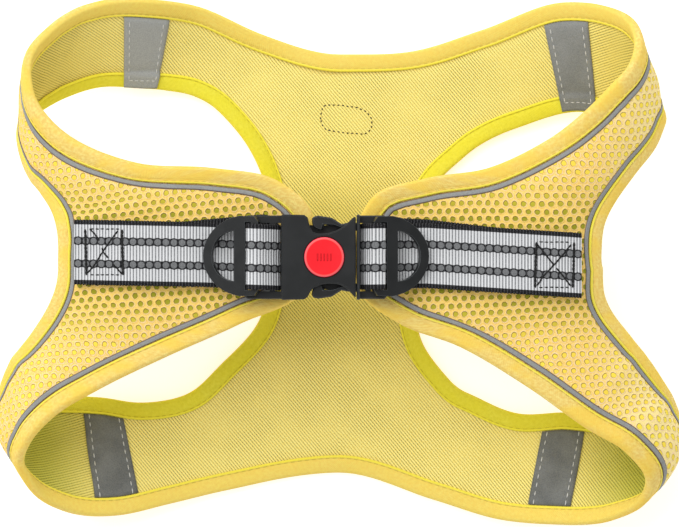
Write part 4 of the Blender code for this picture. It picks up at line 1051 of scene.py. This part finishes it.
def webbingLook():  # white ribs between black selvages, with two rows of grey dots
    look = Look("webbing", 0.7)
    place, x, y = look.uv()
    rib = x.wave(webbing["rib"]).fit(0.5, 0.5)
    fine = look.noise(place, 2.5)
    white = rib.ramp(0.1, 0.8).mix((0.2, 0.205, 0.215), (0.74, 0.75, 0.76))
    white = (fine.ramp(0.4, 0.7) * 0.3).mix(white, (0.78, 0.79, 0.8))
    white = (y.wave(0.55, "SINE").ramp(0.5, 1.0) * 0.12).mix(white, (0.5, 0.5, 0.52))
    black = fine.ramp(0.45, 0.75).mix((0.006, 0.006, 0.007), (0.035, 0.035, 0.04))
    black = (rib.ramp(0.55, 0.95) * fine.ramp(0.35, 0.6)).mix(black, (0.075, 0.075, 0.08))
    one, two = (abs(y - row) for row in webbing["dotRows"])
    nearest = one.calc("MINIMUM", two)
    dot = webbing["dot"]
    dx = (x * (1 / dot)).calc("FRACT").fit(dot, -dot / 2)
    band = (nearest - dx.wave(dot).fit(0.16, 1.52)).ramp(0.08, -0.08)
    dots = dx.away(nearest).ramp(1.32, 1.12)
    grey = fine.ramp(0.3, 0.7).mix((0.13, 0.135, 0.14), (0.21, 0.215, 0.22))
    tone = band.mix(white, dots.mix(black, grey))
    selvage = y.ramp(2.0, 1.8).calc("MAXIMUM", y.ramp(23.0, 23.2))
    return look.done(selvage.mix(tone, black), rib * (1.0 - band * 0.6) + fine * 0.35, 0.16)


def moulded(name, colour, light, rough, shine):  # plastic with a fine matt face, and painted highlights on its eased edges
    look = Look(name, rough, colour, shine)
    place, x, y = look.local()
    grain = look.noise(place, 3.5, 3.0)
    tone = look.noise(place, 0.12).ramp(0.35, 0.7).mix(colour, light)
    highlightedEdge = look.node("ShaderNodeAttribute", {}, "Fac", attribute_name="eased")
    edgeHighlight = tuple(min(0.95, 12 * c) for c in light)
    # painted highlight along the eased edges
    tone = (highlightedEdge * grain.ramp(0.3, 0.7, 0.5, 0.9)).mix(tone, edgeHighlight)
    look.fill(look.shader, {"Roughness": grain.ramp(0.2, 0.8, rough - 0.07, rough + 0.07)})
    return look, x, y, grain, tone


def blackPlastic():
    dark, light = (0.006, 0.0072, 0.0078), (0.011, 0.0122, 0.013)
    look, _, _, grain, tone = moulded("black plastic", dark, light, 0.34, 0.32)
    return look.done(tone, grain, 0.02)


def redPlastic():  # with a few faint ribs for the thumb
    dark, light = (0.88, 0.009, 0.018), (0.92, 0.016, 0.026)
    look, x, y, grain, tone = moulded("red plastic", dark, light, 0.4, 0.22)
    x, y = x + 5.8, y - 2.4  # off the middle of the button
    away = x.away(y)
    # painted highlight round the button's rim
    rim = away.ramp(6.5, 6.9) * away.ramp(7.5, 7.2)
    tone = (rim * 0.5).mix(tone, (1.0, 0.22, 0.2))
    ribs = x.wave(1.25).ramp(0.1, 0.9) * (abs(x).ramp(3.3, 3.0) * abs(y).ramp(1.5, 1.2))
    return look.done((ribs * 0.45).mix(tone, (0.55, 0.005, 0.012)), grain * 0.05 + ribs, 0.3)


def threadLook(name, colour, light):
    look = Look(name, 0.75)
    return look.done(look.noise(look.local()[0], 3.0).ramp(0.35, 0.65).mix(colour, light))


easing = {"ease": 0.24, "buttonEase": 0.15, "flatAngle": 1.5, "sharpAngle": 28, "smoothBelow": 9}


def eased(node, name, ease=easing["ease"]):  # the CAD piece with its edges rounded off
    work = bmesh.new()
    work.from_mesh(bpy.data.objects[node].data)
    bmesh.ops.remove_doubles(work, verts=work.verts, dist=0.002 * mm)
    flat, sharpest = math.radians(easing["flatAngle"]), math.radians(easing["sharpAngle"])
    bmesh.ops.dissolve_limit(work, angle_limit=flat, verts=work.verts, edges=work.edges)
    sharp = [edge for edge in work.edges if edge.is_manifold and edge.calc_face_angle() > sharpest]
    # marks the bevel faces, where the plastic looks paint a highlight
    highlightedEdge = work.faces.layers.float.new("eased")
    bevelled = bmesh.ops.bevel(work, geom=sharp, offset=ease * mm, offset_type="OFFSET", segments=2,
                               profile=0.5, affect="EDGES", clamp_overlap=True, material=-1)
    for face in bevelled["faces"]:
        face[highlightedEdge] = 1.0
    made = finish(name, work, 0.001)
    smooth = [face.area < easing["smoothBelow"] * mm**2 for face in made.data.polygons]
    made.data.polygons.foreach_set("use_smooth", smooth)
    return made


def dress(obj, look, nodes, slotName):
    obj.data.materials.clear()
    obj.data.materials.append(look)
    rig.ride(obj, "root")
    if nodes:
        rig.replaces(obj, *nodes)
    if slotName:
        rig.slot(obj, slotName)


cadMesh = {node: treeOf(bpy.data.objects[node]) for node in ("wing_left", "wing_right", "binding_outer")}
sheets, sheetSizes = addSheets()
print("sheets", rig.bounds())
trim, tapeLengths = addTrim()
print("trim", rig.bounds())
patches, patchFaces, patchLengths = addPatches()
print("patches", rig.bounds())
strapPieces, strapLengths = {}, {}
for label, strap in straps.items():
    strapPieces[label], strapLengths[label] = addStrap(
        label, strap, [cadMesh[f"wing_{label}"], cadMesh["binding_outer"]])
print("webbing", strapLengths)
threads = addStitches(patchFaces, strapPieces, sheets["liningChest"])

hardware = {node: eased(node, f"{node}_moulding") for node in (
    "buckle_socket", "buckle_plug", "d_ring_left", "d_ring_right")}
hardware["lock_button"] = eased("lock_button", "lock_button_cap", easing["buttonEase"])
print("hardware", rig.bounds())

mesh, patchLook = airMesh(), seamTape()
binding = bindingTape("binding tape", (0.84, 0.57, 0.1), (0.9, 0.76, 0.17))
legBinding = bindingTape("leg binding tape", (0.7, 0.66, 0.02), (0.88, 0.82, 0.05))
lining, wingLining = ribbedLining("ribbed lining", 50), ribbedLining("ribbed wing lining", 8)
piped, webLook = pipingLook(), webbingLook()
whiteThread = threadLook("pale thread", (0.5, 0.5, 0.5), (0.7, 0.7, 0.7))
blackThread = threadLook("black thread", (0.008, 0.008, 0.008), (0.03, 0.03, 0.03))
for label in halves:
    dress(sheets["wing", label], mesh, [f"wing_{label}"], "mesh")
    dress(sheets["lining", label], wingLining, [f"lining_{label}"], "lining")
    dress(trim["tape", label], legBinding, [f"binding_leg_{label}"], "tape")
    for side in ("edge", "leg"):
        dress(trim["piping", side, label], piped, [f"piping_{side}_{label}"], "piping")
    for end in ("front", "rear"):
        dress(patches[end, label], patchLook, [f"patch_{end}_{label}"], "patch")
        dress(threads[end, label], whiteThread, [], "")
    dress(strapPieces[label], webLook, [f"strap_{label}"], "webbing")
    dress(threads["box", label], blackThread, [], "")
dress(threads["outline"], blackThread, [], "")
black, red = blackPlastic(), redPlastic()
for node, piece in hardware.items():
    look, slotName = (red, "red") if node == "lock_button" else (black, "plastic")
    dress(piece, look, [node], slotName)
dress(sheets["chest"], mesh, ["chest_panel"], "mesh")
dress(sheets["liningChest"], lining, ["lining_chest"], "lining")
dress(trim["tape"], binding, ["binding_outer"], "tape")

for label in halves:
    wing, wingUnder, leg = sheets["wing", label], sheets["lining", label], trim["tape", label]
    edges = [trim["piping", side, label] for side in ("edge", "leg")]
    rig.sheet(wing, held="folded", rests_on=[wingUnder], with_pieces=edges, **sheetSizes[label])
    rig.sheet(wingUnder, held="folded", rests_on=[sheets["liningChest"]], **sheetSizes[label])
    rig.sheet(leg, flat=(tapeGirth * mm, tapeLengths[label] * mm), held="folded",
             rests_on=[sheets["chest"], wing])
    for end in ("front", "rear"):
        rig.sheet(patches[end, label], flat=(patchTape["width"] * mm, patchLengths[end, label] * mm),
                 held="laid", rests_on=[sheets["liningChest"], wingUnder], with_pieces=[threads[end, label]])
    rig.sheet(strapPieces[label], flat=(webbing["width"] * mm, strapLengths[label] * mm), held="folded",
             rests_on=[wing, hardware[f"d_ring_{label}"]], with_pieces=[threads["box", label]])
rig.sheet(sheets["chest"], held="laid", rests_on=["floor"], **sheetSizes["chest"])
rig.sheet(sheets["liningChest"], held="laid", rests_on=[sheets["chest"]], with_pieces=[threads["outline"]],
         **sheetSizes["chest"])
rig.sheet(trim["tape"], flat=(tapeGirth * mm, tapeLengths["outer"] * mm), held="folded",
         rests_on=[sheets["chest"], sheets["wing", "left"], sheets["wing", "right"]])
print("declared", sheetSizes, tapeLengths, patchLengths)

floorMesh = bpy.data.meshes.new("floor")
floorMesh.from_pydata([(-3, -3, 0), (3, -3, 0), (3, 3, 0), (-3, 3, 0)], [], [(0, 1, 2, 3)])
floor = put("floor", floorMesh)
floorLook = Look("floor", 0.9, (0.85, 0.85, 0.85))
floorLook.fill(floorLook.shader, {"Emission Color": (1, 1, 1), "Emission Strength": 0.5})
floorMesh.materials.append(floorLook.material)
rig.stage(floor)

world = bpy.data.worlds.new("studio")
world.use_nodes = True
floorLook.fill(world.node_tree.nodes["Background"], {"Color": (1, 1, 1), "Strength": 0.66})
bpy.context.scene.world = world
bpy.context.scene.view_settings.view_transform = "Standard"
lampData = bpy.data.lights.new("soft box", "AREA")
lampData.energy = 15
lampData.size = 1.2
lamp = put("soft box", lampData, (-0.5, 0.7, 1.2))
lamp.rotation_euler = (-lamp.location).to_track_quat("-Z", "Y").to_euler()

cameraData = bpy.data.cameras.new("camera")
cameraData.lens = 172.04
bpy.context.scene.camera = put("camera", cameraData, (0, 0, 1.3))

with open("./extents.json", "w") as file:
    json.dump([[list(corner) for corner in box] for box in (cadBounds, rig.bounds())], file)
